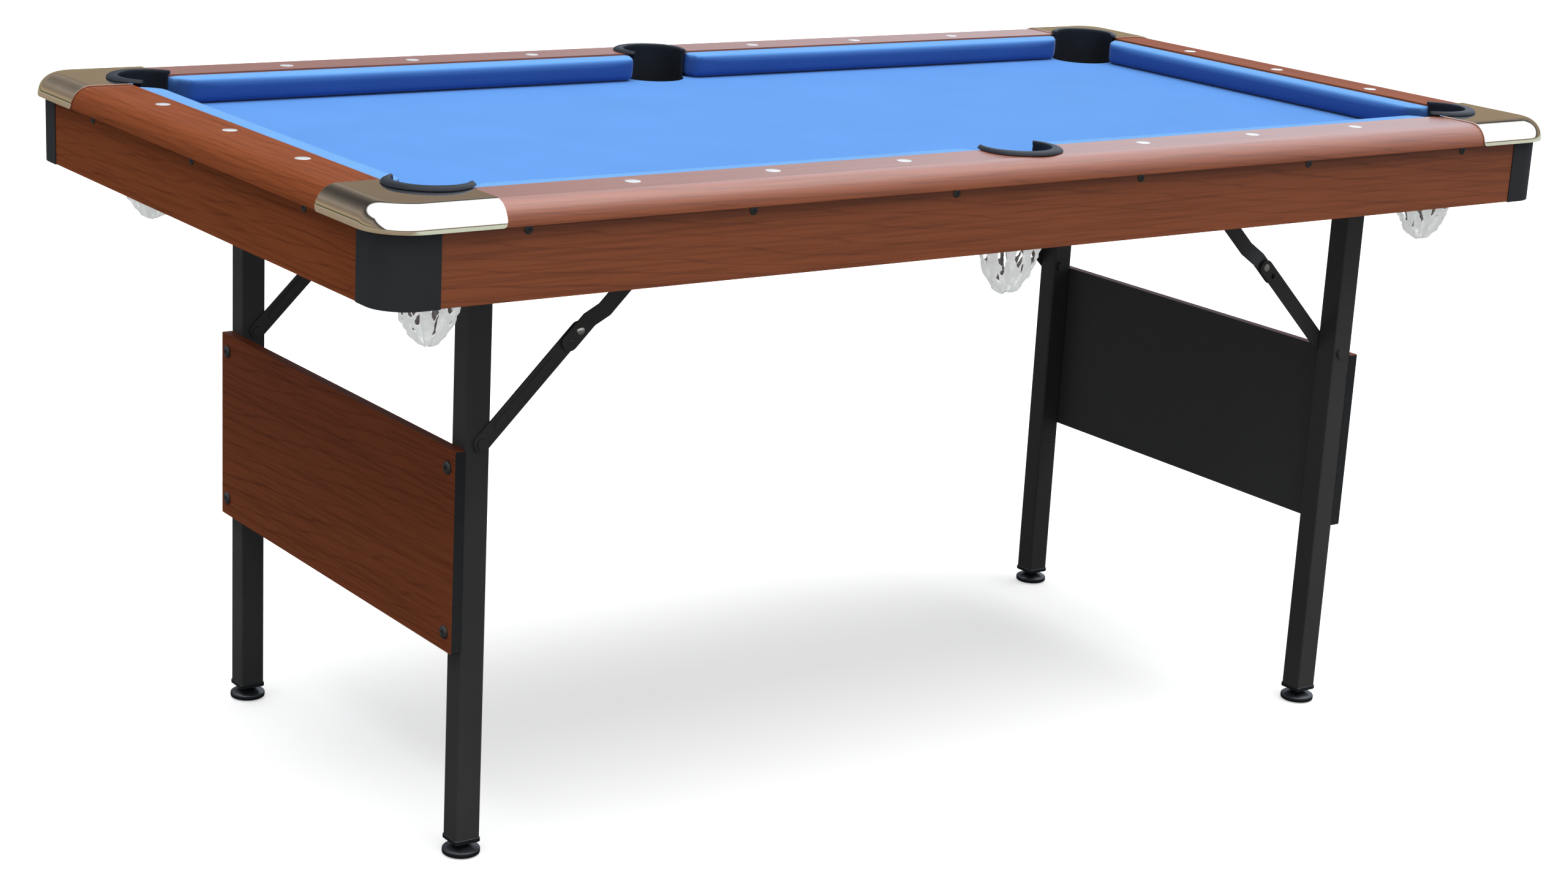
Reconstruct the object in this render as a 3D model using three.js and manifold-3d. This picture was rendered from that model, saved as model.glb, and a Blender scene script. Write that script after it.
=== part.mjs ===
// Family-size pool table with two folding leg frames.
// Millimetres. Origin on the floor under the centre of the table, +X along the long side, +Z up.
// The left leg frame (at -X) is drawn once; the right one is the same frame turned half a turn about Z.

import * as THREE from 'three';
import { mergeVertices } from 'three/addons/utils/BufferGeometryUtils.js';
import Module from 'manifold-3d';

const wasm = await Module();
wasm.setup();

// ---- Driving sizes -------------------------------------------------------------------------------
const GAP = 0.3;

const RAIL = {
  halfX: 838, halfY: 450.5, innerX: 763, innerY: 372, top: 788, bottom: 763, round: 24, corner: 48.5,
};
const APRON = { outerX: 829.5, outerY: 442, thickness: 12, bottom: 686 };
const COVER = { reach: 61, radius: 40, thickness: 13, proud: 1 };
const BED = { top: 755, clothThickness: 3, bottom: 737 };
const CUSHION = { noseX: 731.5, noseY: 342, top: 787, noseRound: 5, undercut: 4 };
const CAP = { thickness: 1.5, reachX: 136, reachY: 140, lipBottom: 762.8 };

const POCKET = { cornerX: 727, cornerY: 340, sideY: 378, holeRadius: 42.4 };
const LINER = {
  inner: 39.3, outer: 42.1, flangeOuter: 53, flangeThickness: 4.4, bottom: 730,
  cornerHalfAngle: 98, sideHalfAngle: 114, taperAngle: 44, wallInset: 5,
};
const NET = { wall: 1.6, top: 729.6 };
const CUSHION_END = {
  sideNose: 52, sideBack: 40, longNose: 674, longBack: 703, shortNose: 287, shortBack: 318,
};

const LEG = {
  x: 611, halfPitch: 276, stagger: 46, width: 30, depth: 30, wall: 2, edge: 2, bottom: 21, plug: 12,
};
const PIVOT = { z: 714, pinRadius: 4, holeRadius: 4.3, above: 12 };
const PANEL = { thickness: 12, halfWidth: 292, bottom: 244, top: 475, corner: 2 };
const MOUNT = { plate: 3, halfWidth: 30, endMargin: 42, earHalf: 15, earThickness: 2.5, earBottom: 702 };
const FOOT = { radius: 21.5, neckRadius: 8, neckTop: 14.5, stemRadius: 5, stemTop: 60, holeRadius: 5.3 };

// Folding brace: leg pivot, elbow and upper pivot lie on one line when the leg stands.
const BRACE = {
  legPivotX: 607, legPivotZ: 480, foldedLead: 12, halfWidth: 10, plate: 2.5,
  holeRadius: 3.4, pinRadius: 3, headRadius: 6.5, headHeight: 3.5,
  joggleStart: 16, joggleEnd: 34, joggleDepth: 10, lowerTail: 27,
  ribHalf: 4.5, ribHeight: 1.2, ribInset: 26, lockHoleInset: 17,
};
const CIRCLE_STEPS = 32;
const PIN_STEPS = 16;
const TURNED_STEPS = 24;

// ---- Materials -----------------------------------------------------------------------------------
const finish = (name, color, roughness, metalness) => {
  const material = new THREE.MeshStandardMaterial({ color, roughness, metalness, flatShading: true });
  material.name = name;
  return material;
};
const MATERIALS = {
  cherry: finish('cherry_laminate', 0x7a3e28, 0.42, 0),
  panel: finish('panel_laminate', 0x5b2d1b, 0.45, 0),
  fibreboard: finish('fibreboard', 0x6d5334, 0.8, 0),
  cloth: finish('blue_cloth', 0x4b8fe8, 0.95, 0),
  chrome: finish('chrome', 0xe6e6e8, 0.06, 1),
  cover: finish('black_cover', 0x26292b, 0.5, 0),
  liner: finish('pocket_rubber', 0x24272b, 0.55, 0),
  net: finish('net_plastic', 0xd6dbd6, 0.4, 0),
  steel: finish('black_steel', 0x25292c, 0.42, 0.4),
  foot: finish('foot_plastic', 0x1e2022, 0.5, 0),
};

// ---- Solid helpers -------------------------------------------------------------------------------
function weld(geometry) {
  geometry.deleteAttribute('normal');
  geometry.deleteAttribute('uv');
  const welded = mergeVertices(geometry, 1e-3);
  const corners = welded.index.array;
  const kept = [];
  for (let i = 0; i < corners.length; i += 3) {
    const [a, b, c] = [corners[i], corners[i + 1], corners[i + 2]];
    if (a !== b && b !== c && c !== a) kept.push(a, b, c);
  }
  welded.setIndex(kept);
  return welded;
}

function solid(geometry) {
  const welded = weld(geometry);
  return new wasm.Manifold(new wasm.Mesh({
    numProp: 3,
    vertProperties: new Float32Array(welded.attributes.position.array),
    triVerts: new Uint32Array(welded.index.array),
  }));
}

function surface(body) {
  const mesh = body.getMesh();
  const geometry = new THREE.BufferGeometry();
  geometry.setAttribute('position', new THREE.BufferAttribute(new Float32Array(mesh.vertProperties), 3));
  geometry.setIndex(new THREE.BufferAttribute(new Uint32Array(mesh.triVerts), 1));
  geometry.computeVertexNormals();
  return geometry;
}

const box = (x0, x1, y0, y1, z0, z1) => {
  const geometry = new THREE.BoxGeometry(x1 - x0, y1 - y0, z1 - z0);
  geometry.translate((x0 + x1) / 2, (y0 + y1) / 2, (z0 + z1) / 2);
  return solid(geometry);
};

const outline = (points) => new THREE.Shape(points.map(([x, y]) => new THREE.Vector2(x, y)));

const prism = (shape, z0, z1, steps = 8) => {
  const settings = { depth: z1 - z0, bevelEnabled: false, curveSegments: steps };
  const geometry = new THREE.ExtrudeGeometry(shape, settings);
  geometry.translate(0, 0, z0);
  return solid(geometry);
};

const circlePoints = (x, y, radius) => Array.from({ length: CIRCLE_STEPS }, (_, i) => {
  const angle = (i / CIRCLE_STEPS) * 2 * Math.PI;
  return [x + radius * Math.cos(angle), y + radius * Math.sin(angle)];
});

const upright = (x, y, radius, z0, z1) => prism(outline(circlePoints(x, y, radius)), z0, z1);

// A cylinder whose axis runs along Y.
const crosswise = (x, z, radius, y0, y1) => {
  const geometry = new THREE.CylinderGeometry(radius, radius, y1 - y0, PIN_STEPS);
  geometry.translate(x, (y0 + y1) / 2, z);
  return solid(geometry);
};

function roundedRectangle(halfX, halfY, radius, centreX = 0, centreY = 0) {
  const [right, top] = [centreX + halfX, centreY + halfY];
  const [left, bottom] = [centreX - halfX, centreY - halfY];
  const shape = new THREE.Shape();
  shape.moveTo(left + radius, bottom);
  shape.lineTo(right - radius, bottom);
  shape.absarc(right - radius, bottom + radius, radius, -Math.PI / 2, 0, false);
  shape.lineTo(right, top - radius);
  shape.absarc(right - radius, top - radius, radius, 0, Math.PI / 2, false);
  shape.lineTo(left + radius, top);
  shape.absarc(left + radius, top - radius, radius, Math.PI / 2, Math.PI, false);
  shape.lineTo(left, bottom + radius);
  shape.absarc(left + radius, bottom + radius, radius, Math.PI, 1.5 * Math.PI, false);
  return shape;
}

const joinAll = (bodies) => bodies.reduce((sum, body) => sum.add(body));
const cutAll = (body, cutters) => cutters.reduce((rest, cutter) => rest.subtract(cutter), body);

// ---- Assembly ------------------------------------------------------------------------------------
const table = new THREE.Group();
table.name = 'pool_table';

function addPart(name, body, material) {
  const part = new THREE.Mesh(surface(body), material);
  part.name = name;
  table.add(part);
}

const halfTurn = (body) => body.rotate([0, 0, 180]);

// The four corners and the six pockets, each with the direction that points away from the playing area.
const CORNERS = [
  { name: 'left_front', x: -1, y: -1 },
  { name: 'right_front', x: 1, y: -1 },
  { name: 'left_back', x: -1, y: 1 },
  { name: 'right_back', x: 1, y: 1 },
];
const POCKETS = [
  ...CORNERS.map(({ name, x, y }) => ({
    name,
    x: x * POCKET.cornerX,
    y: y * POCKET.cornerY,
    outward: Math.atan2(y, x),
    seat: RAIL.top + CAP.thickness + 2 * GAP,
    halfAngle: LINER.cornerHalfAngle,
  })),
  ...[['side_front', -1], ['side_back', 1]].map(([name, side]) => ({
    name,
    x: 0,
    y: side * POCKET.sideY,
    outward: (side * Math.PI) / 2,
    seat: RAIL.top + GAP,
    halfAngle: LINER.sideHalfAngle,
  })),
];
const pocketHoles = POCKETS.map(({ x, y }) => (
  upright(x, y, POCKET.holeRadius, BED.bottom - 20, RAIL.top + 20)
));

// Bed: a flat board with cloth glued on top, notched for the six pockets. Each notch ends in a half circle
// facing the playing area, with straight sides out to the edges of the board.
function buildBed() {
  const inset = APRON.thickness + GAP + 0.1;
  const [halfX, halfY] = [APRON.outerX - inset, APRON.outerY - inset];
  const notchX = POCKET.cornerX - POCKET.holeRadius * Math.SQRT1_2;
  const notchY = POCKET.cornerY - POCKET.holeRadius * Math.SQRT1_2;
  const cornerNotches = CORNERS.map(({ x, y }) => {
    const spanX = [x * notchX, x * (halfX + 1)].sort((a, b) => a - b);
    const spanY = [y * notchY, y * (halfY + 1)].sort((a, b) => a - b);
    return box(...spanX, ...spanY, BED.bottom - 1, BED.top + 1);
  });
  const sideNotches = [-1, 1].map((side) => {
    const spanY = [side * POCKET.sideY, side * (halfY + 1)].sort((a, b) => a - b);
    return box(-POCKET.holeRadius, POCKET.holeRadius, ...spanY, BED.bottom - 1, BED.top + 1);
  });
  const cutters = [...pocketHoles, ...cornerNotches, ...sideNotches];
  const outside = outline([[-halfX, -halfY], [halfX, -halfY], [halfX, halfY], [-halfX, halfY]]);
  const clothBottom = BED.top - BED.clothThickness;
  const layer = (bottom, top) => cutAll(prism(outside, bottom, top), cutters);
  addPart('bed_panel', layer(BED.bottom, clothBottom - GAP), MATERIALS.fibreboard);
  addPart('bed_cloth', layer(clothBottom, BED.top), MATERIALS.cloth);
}

// Apron: four boards between the corner covers.
function buildAprons() {
  const top = RAIL.bottom - GAP;
  const endX = APRON.outerX + COVER.proud - COVER.reach - GAP;
  const endY = APRON.outerY + COVER.proud - COVER.reach - GAP;
  for (const [side, sign] of [['front', -1], ['back', 1]]) {
    const faces = [sign * APRON.outerY, sign * (APRON.outerY - APRON.thickness)].sort((a, b) => a - b);
    addPart(`apron_${side}`, box(-endX, endX, ...faces, APRON.bottom, top), MATERIALS.cherry);
  }
  for (const [side, sign] of [['left', -1], ['right', 1]]) {
    const faces = [sign * APRON.outerX, sign * (APRON.outerX - APRON.thickness)].sort((a, b) => a - b);
    addPart(`apron_${side}`, box(...faces, -endY, endY, APRON.bottom, top), MATERIALS.cherry);
  }
}

// Corner covers: an angle moulding with a rounded outer corner.
function buildCovers() {
  const [outerX, outerY] = [APRON.outerX + COVER.proud, APRON.outerY + COVER.proud];
  const [top, bottom] = [RAIL.bottom - GAP, APRON.bottom - 0.5];
  const outside = prism(roundedRectangle(outerX, outerY, COVER.radius), bottom, top);
  const inside = prism(
    roundedRectangle(outerX - COVER.thickness, outerY - COVER.thickness, COVER.radius - COVER.thickness),
    bottom - 1,
    top + 1,
  );
  const ring = outside.subtract(inside);
  for (const { name, x, y } of CORNERS) {
    const spanX = [x * (outerX - COVER.reach), x * (outerX + 1)].sort((a, b) => a - b);
    const spanY = [y * (outerY - COVER.reach), y * (outerY + 1)].sort((a, b) => a - b);
    const corner = box(...spanX, ...spanY, bottom - 1, top + 1);
    addPart(`corner_cover_${name}`, ring.intersect(corner), MATERIALS.cover);
  }
}

// A slab over the whole table whose outer edge is a quarter round, grown outwards by "growth".
function roundedSlab(growth, bottom) {
  const round = RAIL.round + growth;
  const core = roundedRectangle(RAIL.halfX - RAIL.round, RAIL.halfY - RAIL.round, RAIL.corner - RAIL.round);
  const straight = 12;
  const geometry = new THREE.ExtrudeGeometry(core, {
    depth: straight, curveSegments: 8,
    bevelEnabled: true, bevelThickness: round, bevelSize: round, bevelSegments: 7,
  });
  geometry.translate(0, 0, RAIL.top + growth - round - straight);
  const reach = 1000;
  return solid(geometry).intersect(box(-reach, reach, -reach, reach, bottom, RAIL.top + 50));
}

const playHole = (grow) => {
  const [halfX, halfY] = [RAIL.innerX + grow, RAIL.innerY + grow];
  return box(-halfX, halfX, -halfY, halfY, BED.bottom, RAIL.top + 50);
};

// Top rails: wood-grained mouldings mitred at the corners.
function buildRails() {
  const frame = cutAll(roundedSlab(0, RAIL.bottom), [playHole(0), ...pocketHoles]);
  const mitre = 110;
  const reach = 20;
  const wedge = (halfLength, halfDepth) => outline([
    [-halfLength - reach + GAP / 2, -halfDepth - reach],
    [halfLength + reach - GAP / 2, -halfDepth - reach],
    [halfLength - mitre - GAP / 2, -halfDepth + mitre],
    [-halfLength + mitre + GAP / 2, -halfDepth + mitre],
  ]);
  const longWedge = prism(wedge(RAIL.halfX, RAIL.halfY), BED.bottom, RAIL.top + 50);
  const shortWedge = prism(wedge(RAIL.halfY, RAIL.halfX), BED.bottom, RAIL.top + 50);
  const wedges = [
    ['front', longWedge, 0], ['back', longWedge, 180], ['right', shortWedge, 90], ['left', shortWedge, 270],
  ];
  for (const [side, shape, turn] of wedges) {
    addPart(`rail_${side}`, frame.intersect(shape.rotate([0, 0, turn])), MATERIALS.cherry);
  }
}

// Cushions: cloth-covered strips with a rounded nose, cut at an angle towards each pocket.
function cushionSection(depth) {
  const { top, noseRound, undercut } = CUSHION;
  const points = [[depth - GAP, BED.top + GAP], [depth - GAP, top]];
  for (let i = 0; i <= 5; i += 1) {
    const angle = (i / 5) * (Math.PI / 2);
    points.push([noseRound * (1 - Math.sin(angle)), top - noseRound * (1 - Math.cos(angle))]);
  }
  points.push([undercut, BED.top + GAP]);
  return points;
}

function buildCushions() {
  const lengthways = (depth, halfRun) => {
    const section = outline(cushionSection(depth));
    const geometry = new THREE.ExtrudeGeometry(section, { depth: 2 * halfRun, bevelEnabled: false });
    geometry.translate(0, 0, -halfRun);
    geometry.rotateX(Math.PI / 2);
    return solid(geometry);
  };
  const ends = CUSHION_END;
  const top = RAIL.top + 10;
  const shortStrip = lengthways(RAIL.innerX - CUSHION.noseX, RAIL.innerY).translate([CUSHION.noseX, 0, 0]);
  const shortPlan = prism(outline([
    [CUSHION.noseX, -ends.shortNose], [RAIL.innerX, -ends.shortBack],
    [RAIL.innerX, ends.shortBack], [CUSHION.noseX, ends.shortNose],
  ]), BED.bottom, top);
  const shortCushion = cutAll(shortStrip.intersect(shortPlan), pocketHoles);
  addPart('cushion_right', shortCushion, MATERIALS.cloth);
  addPart('cushion_left', halfTurn(shortCushion), MATERIALS.cloth);

  const longStrip = lengthways(RAIL.innerY - CUSHION.noseY, RAIL.innerX)
    .rotate([0, 0, 90])
    .translate([0, CUSHION.noseY, 0]);
  for (const [end, sign] of [['left', -1], ['right', 1]]) {
    const points = [
      [sign * ends.sideNose, CUSHION.noseY], [sign * ends.longNose, CUSHION.noseY],
      [sign * ends.longBack, RAIL.innerY], [sign * ends.sideBack, RAIL.innerY],
    ];
    const backCushion = cutAll(longStrip.intersect(prism(outline(points), BED.bottom, top)), pocketHoles);
    addPart(`cushion_back_${end}`, backCushion, MATERIALS.cloth);
    addPart(`cushion_front_${end === 'left' ? 'right' : 'left'}`, halfTurn(backCushion), MATERIALS.cloth);
  }
}

// Corner caps: thin chromed pressings over the rail mitres, with a lip round the outer edge.
function buildCaps() {
  const outside = roundedSlab(GAP + CAP.thickness, CAP.lipBottom);
  const inside = roundedSlab(GAP, CAP.lipBottom - 1);
  const shell = cutAll(outside.subtract(inside), [playHole(GAP), ...pocketHoles]);
  for (const { name, x, y } of CORNERS) {
    const spanX = [x * (RAIL.halfX - CAP.reachX), x * (RAIL.halfX + 10)].sort((a, b) => a - b);
    const spanY = [y * (RAIL.halfY - CAP.reachY), y * (RAIL.halfY + 10)].sort((a, b) => a - b);
    const corner = box(...spanX, ...spanY, CAP.lipBottom, RAIL.top + 20);
    addPart(`corner_cap_${name}`, shell.intersect(corner), MATERIALS.chrome);
  }
}

// Pocket liners: a curved wall open towards the table and a flange ending in two horns.
function buildLiners() {
  const degrees = Math.PI / 180;
  const steps = 26;
  const arc = (radiusAt, halfAngle) => Array.from({ length: steps + 1 }, (_, i) => {
    const angle = -halfAngle + (2 * halfAngle * i) / steps;
    const radius = radiusAt(Math.abs(angle));
    return [radius * Math.cos(angle * degrees), radius * Math.sin(angle * degrees)];
  });
  const sector = (outerAt, halfAngle) => outline([
    ...arc(outerAt, halfAngle), ...arc(() => LINER.inner, halfAngle).reverse(),
  ]);
  const hornRadius = (halfAngle) => (angle) => {
    const taper = Math.max(0, (angle - halfAngle) / LINER.taperAngle + 1);
    return LINER.flangeOuter - (LINER.flangeOuter - LINER.inner - 4) * taper ** 1.6;
  };
  for (const { name, x, y, outward, seat, halfAngle } of POCKETS) {
    const top = seat + LINER.flangeThickness;
    const wall = prism(sector(() => LINER.outer, halfAngle - LINER.wallInset), LINER.bottom, top);
    const flange = prism(sector(hornRadius(halfAngle), halfAngle), seat, top);
    const liner = wall.add(flange).rotate([0, 0, outward / degrees]).translate([x, y, 0]);
    addPart(`pocket_liner_${name}`, liner, MATERIALS.liner);
  }
}

// Pocket nets: a round-bottomed basket below each liner.
function buildNets() {
  const outer = [
    [0, 622], [9, 623.5], [19, 631], [27, 643], [33, 660], [36.5, 684], [39.5, 710], [41, NET.top],
  ];
  const inner = outer.map(([r, z]) => [Math.max(0, r - NET.wall), z]).reverse();
  inner[inner.length - 1] = [0, outer[0][1] + NET.wall];
  inner[inner.length - 2] = [outer[1][0] - 0.6, outer[1][1] + NET.wall];
  const profile = [...outer, ...inner].map(([r, z]) => new THREE.Vector2(r, z));
  for (const { name, x, y } of POCKETS) {
    const geometry = new THREE.LatheGeometry(profile, TURNED_STEPS);
    geometry.rotateX(Math.PI / 2);
    geometry.translate(x, y, 0);
    addPart(`pocket_net_${name}`, solid(geometry), MATERIALS.net);
  }
}

// ---- Leg frame, drawn for the left end and turned for the right end ---------------------------------
const legX = -LEG.x;
const LEG_ROWS = [
  { row: 'front', turnedRow: 'back', y: LEG.stagger - LEG.halfPitch },
  { row: 'back', turnedRow: 'front', y: LEG.stagger + LEG.halfPitch },
];

function addTurned(name, body, material) {
  addPart(name('left', false), body, material);
  addPart(name('right', true), halfTurn(body), material);
}

// The plane of each brace, on the -Y face of its leg, counted outwards from that face.
const BRACE_LAYERS = (() => {
  const lower = GAP;
  const upper = lower + BRACE.plate + BRACE.ribHeight + GAP;
  const ear = upper + BRACE.joggleDepth - GAP - MOUNT.earThickness;
  return { lower, upper, upperTop: upper + BRACE.joggleDepth, ear };
})();

// Fold geometry of the brace, worked out in the X-Z plane of the left frame.
const BRACE_LINE = (() => {
  const pivot = { x: legX, z: PIVOT.z };
  const leg = { x: -BRACE.legPivotX, z: BRACE.legPivotZ };
  const foldedLeg = { x: pivot.x + (pivot.z - leg.z), z: pivot.z + (leg.x - pivot.x) };
  const upper = { x: foldedLeg.x + BRACE.foldedLead, z: foldedLeg.z };
  const span = Math.hypot(upper.x - leg.x, upper.z - leg.z);
  const lowerLength = (span - BRACE.foldedLead) / 2;
  const slope = Math.atan2(upper.z - leg.z, upper.x - leg.x);
  const elbow = { x: leg.x + lowerLength * Math.cos(slope), z: leg.z + lowerLength * Math.sin(slope) };
  return { leg, upper, elbow, slope, lowerLength, upperLength: span - lowerLength };
})();

// Mounting plate under the bed, with a pair of ears and a pivot pin for each leg.
function buildLegMounts() {
  const top = BED.bottom - GAP;
  const ends = [LEG_ROWS[0].y - MOUNT.endMargin, LEG_ROWS[1].y + MOUNT.endMargin];
  const pieces = [box(legX - MOUNT.halfWidth, legX + MOUNT.halfWidth, ...ends, top - MOUNT.plate, top)];
  for (const { y } of LEG_ROWS) {
    const inner = LEG.depth / 2 + GAP;
    const outer = inner + MOUNT.earThickness;
    for (const faces of [[y - outer, y - inner], [y + inner, y + outer]]) {
      pieces.push(box(legX - MOUNT.earHalf, legX + MOUNT.earHalf, ...faces, MOUNT.earBottom, top - 1));
    }
    pieces.push(crosswise(legX, PIVOT.z, PIVOT.pinRadius, y - outer - 2, y + outer + 2));
  }
  addTurned((end) => `leg_mount_${end}`, joinAll(pieces), MATERIALS.steel);
}

// Legs: square tube with a threaded plug at the foot and the brace bolt through it.
function buildLegs() {
  for (const { row, turnedRow, y } of LEG_ROWS) {
    const [halfWidth, halfDepth] = [LEG.width / 2, LEG.depth / 2];
    const outside = roundedRectangle(halfWidth, halfDepth, LEG.edge, legX, y);
    const inside = roundedRectangle(halfWidth - LEG.wall, halfDepth - LEG.wall, 1, legX, y);
    const top = PIVOT.z + PIVOT.above;
    const tube = prism(outside, LEG.bottom, top, 3);
    const hollow = prism(inside, LEG.bottom + LEG.plug, top + 5, 3);
    const threadHole = upright(legX, y, FOOT.holeRadius, 0, LEG.bottom + LEG.plug + 5);
    const pivotHole = crosswise(legX, PIVOT.z, PIVOT.holeRadius, y - halfDepth - 5, y + halfDepth + 5);
    const face = y - halfDepth;
    const headBase = face - BRACE_LAYERS.lower - BRACE.plate - GAP;
    const { leg } = BRACE_LINE;
    const bolt = [
      crosswise(leg.x, leg.z, BRACE.pinRadius, headBase - 1, y + halfDepth + 1),
      crosswise(leg.x, leg.z, BRACE.headRadius, headBase - BRACE.headHeight, headBase),
      crosswise(leg.x, leg.z, BRACE.headRadius, y + halfDepth, y + halfDepth + BRACE.headHeight),
    ];
    const body = joinAll([cutAll(tube, [hollow, threadHole, pivotHole]), ...bolt]);
    addTurned((end, turned) => `leg_${end}_${turned ? turnedRow : row}`, body, MATERIALS.steel);
  }
}

// End panel: a flat board across the outer faces of the two legs.
function buildPanels() {
  const outer = legX - LEG.width / 2 - GAP;
  const shape = roundedRectangle(PANEL.halfWidth, (PANEL.top - PANEL.bottom) / 2, PANEL.corner);
  const board = prism(shape, 0, PANEL.thickness, 2)
    .rotate([90, 0, 0])
    .rotate([0, 0, -90])
    .translate([outer, LEG.stagger, (PANEL.top + PANEL.bottom) / 2]);
  addTurned((end) => `end_panel_${end}`, board, MATERIALS.panel);
}

// Levelling feet: a domed disc with a neck and a threaded stem.
function buildFeet() {
  const { radius, neckRadius, neckTop, stemRadius, stemTop } = FOOT;
  const profile = [
    [0, 0], [radius - 2.5, 0], [radius, 2.5], [radius, 6], [radius - 3.5, 9],
    [neckRadius + 2, 11.5], [neckRadius, 12], [neckRadius, neckTop],
    [stemRadius, neckTop], [stemRadius, stemTop], [0, stemTop],
  ].map(([r, z]) => new THREE.Vector2(r, z));
  for (const { row, turnedRow, y } of LEG_ROWS) {
    const geometry = new THREE.LatheGeometry(profile, TURNED_STEPS);
    geometry.rotateX(Math.PI / 2);
    geometry.translate(legX, y, 0);
    addTurned((end, turned) => `foot_${end}_${turned ? turnedRow : row}`, solid(geometry), MATERIALS.foot);
  }
}

// A flat bar with round ends, lying along +X from the origin, its width along Z and its plate along Y.
function roundEndedBar(tail, length, halfWidth, y0, y1) {
  const end = (x, from) => Array.from({ length: 13 }, (_, i) => {
    const angle = from + (i / 12) * Math.PI;
    return [x + halfWidth * Math.cos(angle), halfWidth * Math.sin(angle)];
  });
  const shape = outline([...end(length, -Math.PI / 2), ...end(-tail, Math.PI / 2)]);
  return prism(shape, y0, y1).rotate([90, 0, 0]).translate([0, y0 + y1, 0]);
}

const place = (body, slope, { x, z }, y) => (
  body.rotate([0, (-slope * 180) / Math.PI, 0]).translate([x, y, z])
);

// Lower brace arm: a pressed strip with a long raised rib.
function buildLowerArms() {
  const { lowerLength, slope, leg } = BRACE_LINE;
  const near = -BRACE_LAYERS.lower - BRACE.plate;
  const far = -BRACE_LAYERS.lower;
  const bar = roundEndedBar(0, lowerLength, BRACE.halfWidth, near, far);
  const lockHole = lowerLength - BRACE.lockHoleInset;
  const ribEnd = lockHole - BRACE.ribInset - 1;
  const rib = roundEndedBar(-BRACE.ribInset, ribEnd, BRACE.ribHalf, near - BRACE.ribHeight, far);
  const holes = [0, lowerLength, lockHole].map((x) => (
    crosswise(x, 0, BRACE.holeRadius, near - 5, far + 5)
  ));
  const arm = cutAll(bar.add(rib), holes);
  for (const { row, turnedRow, y } of LEG_ROWS) {
    const body = place(arm, slope, leg, y - LEG.depth / 2);
    addTurned((end, turned) => `brace_lower_${end}_${turned ? turnedRow : row}`, body, MATERIALS.steel);
  }
}

// Upper brace arm: a flat bar that steps outwards above the elbow.
function buildUpperArms() {
  const { upperLength, slope, elbow } = BRACE_LINE;
  const { plate, joggleStart, joggleEnd, joggleDepth, lowerTail, halfWidth, holeRadius } = BRACE;
  const inner = -BRACE_LAYERS.upper;
  const end = upperLength + halfWidth + 5;
  const strip = outline([
    [-lowerTail - halfWidth, inner], [-lowerTail - halfWidth, inner - plate], [joggleStart, inner - plate],
    [joggleEnd, inner - joggleDepth - plate], [end, inner - joggleDepth - plate], [end, inner - joggleDepth],
    [joggleEnd, inner - joggleDepth], [joggleStart, inner],
  ].reverse());
  const profile = prism(strip, -halfWidth - 5, halfWidth + 5);
  const outermost = inner - joggleDepth - plate;
  const blank = roundEndedBar(lowerTail - halfWidth, upperLength, halfWidth, outermost - 5, inner + 5);
  const holes = [0, upperLength].map((x) => crosswise(x, 0, holeRadius, inner - 30, inner + 30));
  const arm = cutAll(profile.intersect(blank), holes);
  for (const { row, turnedRow, y } of LEG_ROWS) {
    const body = place(arm, slope, elbow, y - LEG.depth / 2);
    addTurned((side, turned) => `brace_upper_${side}_${turned ? turnedRow : row}`, body, MATERIALS.steel);
  }
}

// Brace brackets: a small angle under the bed with the pin that carries the upper arm.
function buildBraceBrackets() {
  const { upper } = BRACE_LINE;
  const top = BED.bottom - GAP;
  for (const { row, turnedRow, y } of LEG_ROWS) {
    const face = y - LEG.depth / 2;
    const earNear = face - BRACE_LAYERS.ear - MOUNT.earThickness;
    const earFar = face - BRACE_LAYERS.ear;
    const armFar = face - BRACE_LAYERS.upperTop - BRACE.plate - GAP;
    const body = joinAll([
      box(upper.x - 20, upper.x + 20, earNear - 28, earFar, top - MOUNT.plate, top),
      box(upper.x - 11, upper.x + 11, earNear, earFar, upper.z - 10, top - 1),
      crosswise(upper.x, upper.z, BRACE.pinRadius, armFar - 1, earFar),
      crosswise(upper.x, upper.z, BRACE.headRadius, armFar - BRACE.headHeight, armFar),
    ]);
    addTurned((end, turned) => `brace_bracket_${end}_${turned ? turnedRow : row}`, body, MATERIALS.steel);
  }
}

buildBed();
buildAprons();
buildCovers();
buildRails();
buildCushions();
buildCaps();
buildLiners();
buildNets();
buildLegMounts();
buildLegs();
buildPanels();
buildFeet();
buildLowerArms();
buildUpperArms();
buildBraceBrackets();

export default table;
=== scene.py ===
"""Looks of the folding pool table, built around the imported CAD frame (metres, same frame as the CAD)."""

import math
import random

import bmesh
import bpy
from mathutils import Matrix, Vector, noise


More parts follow.
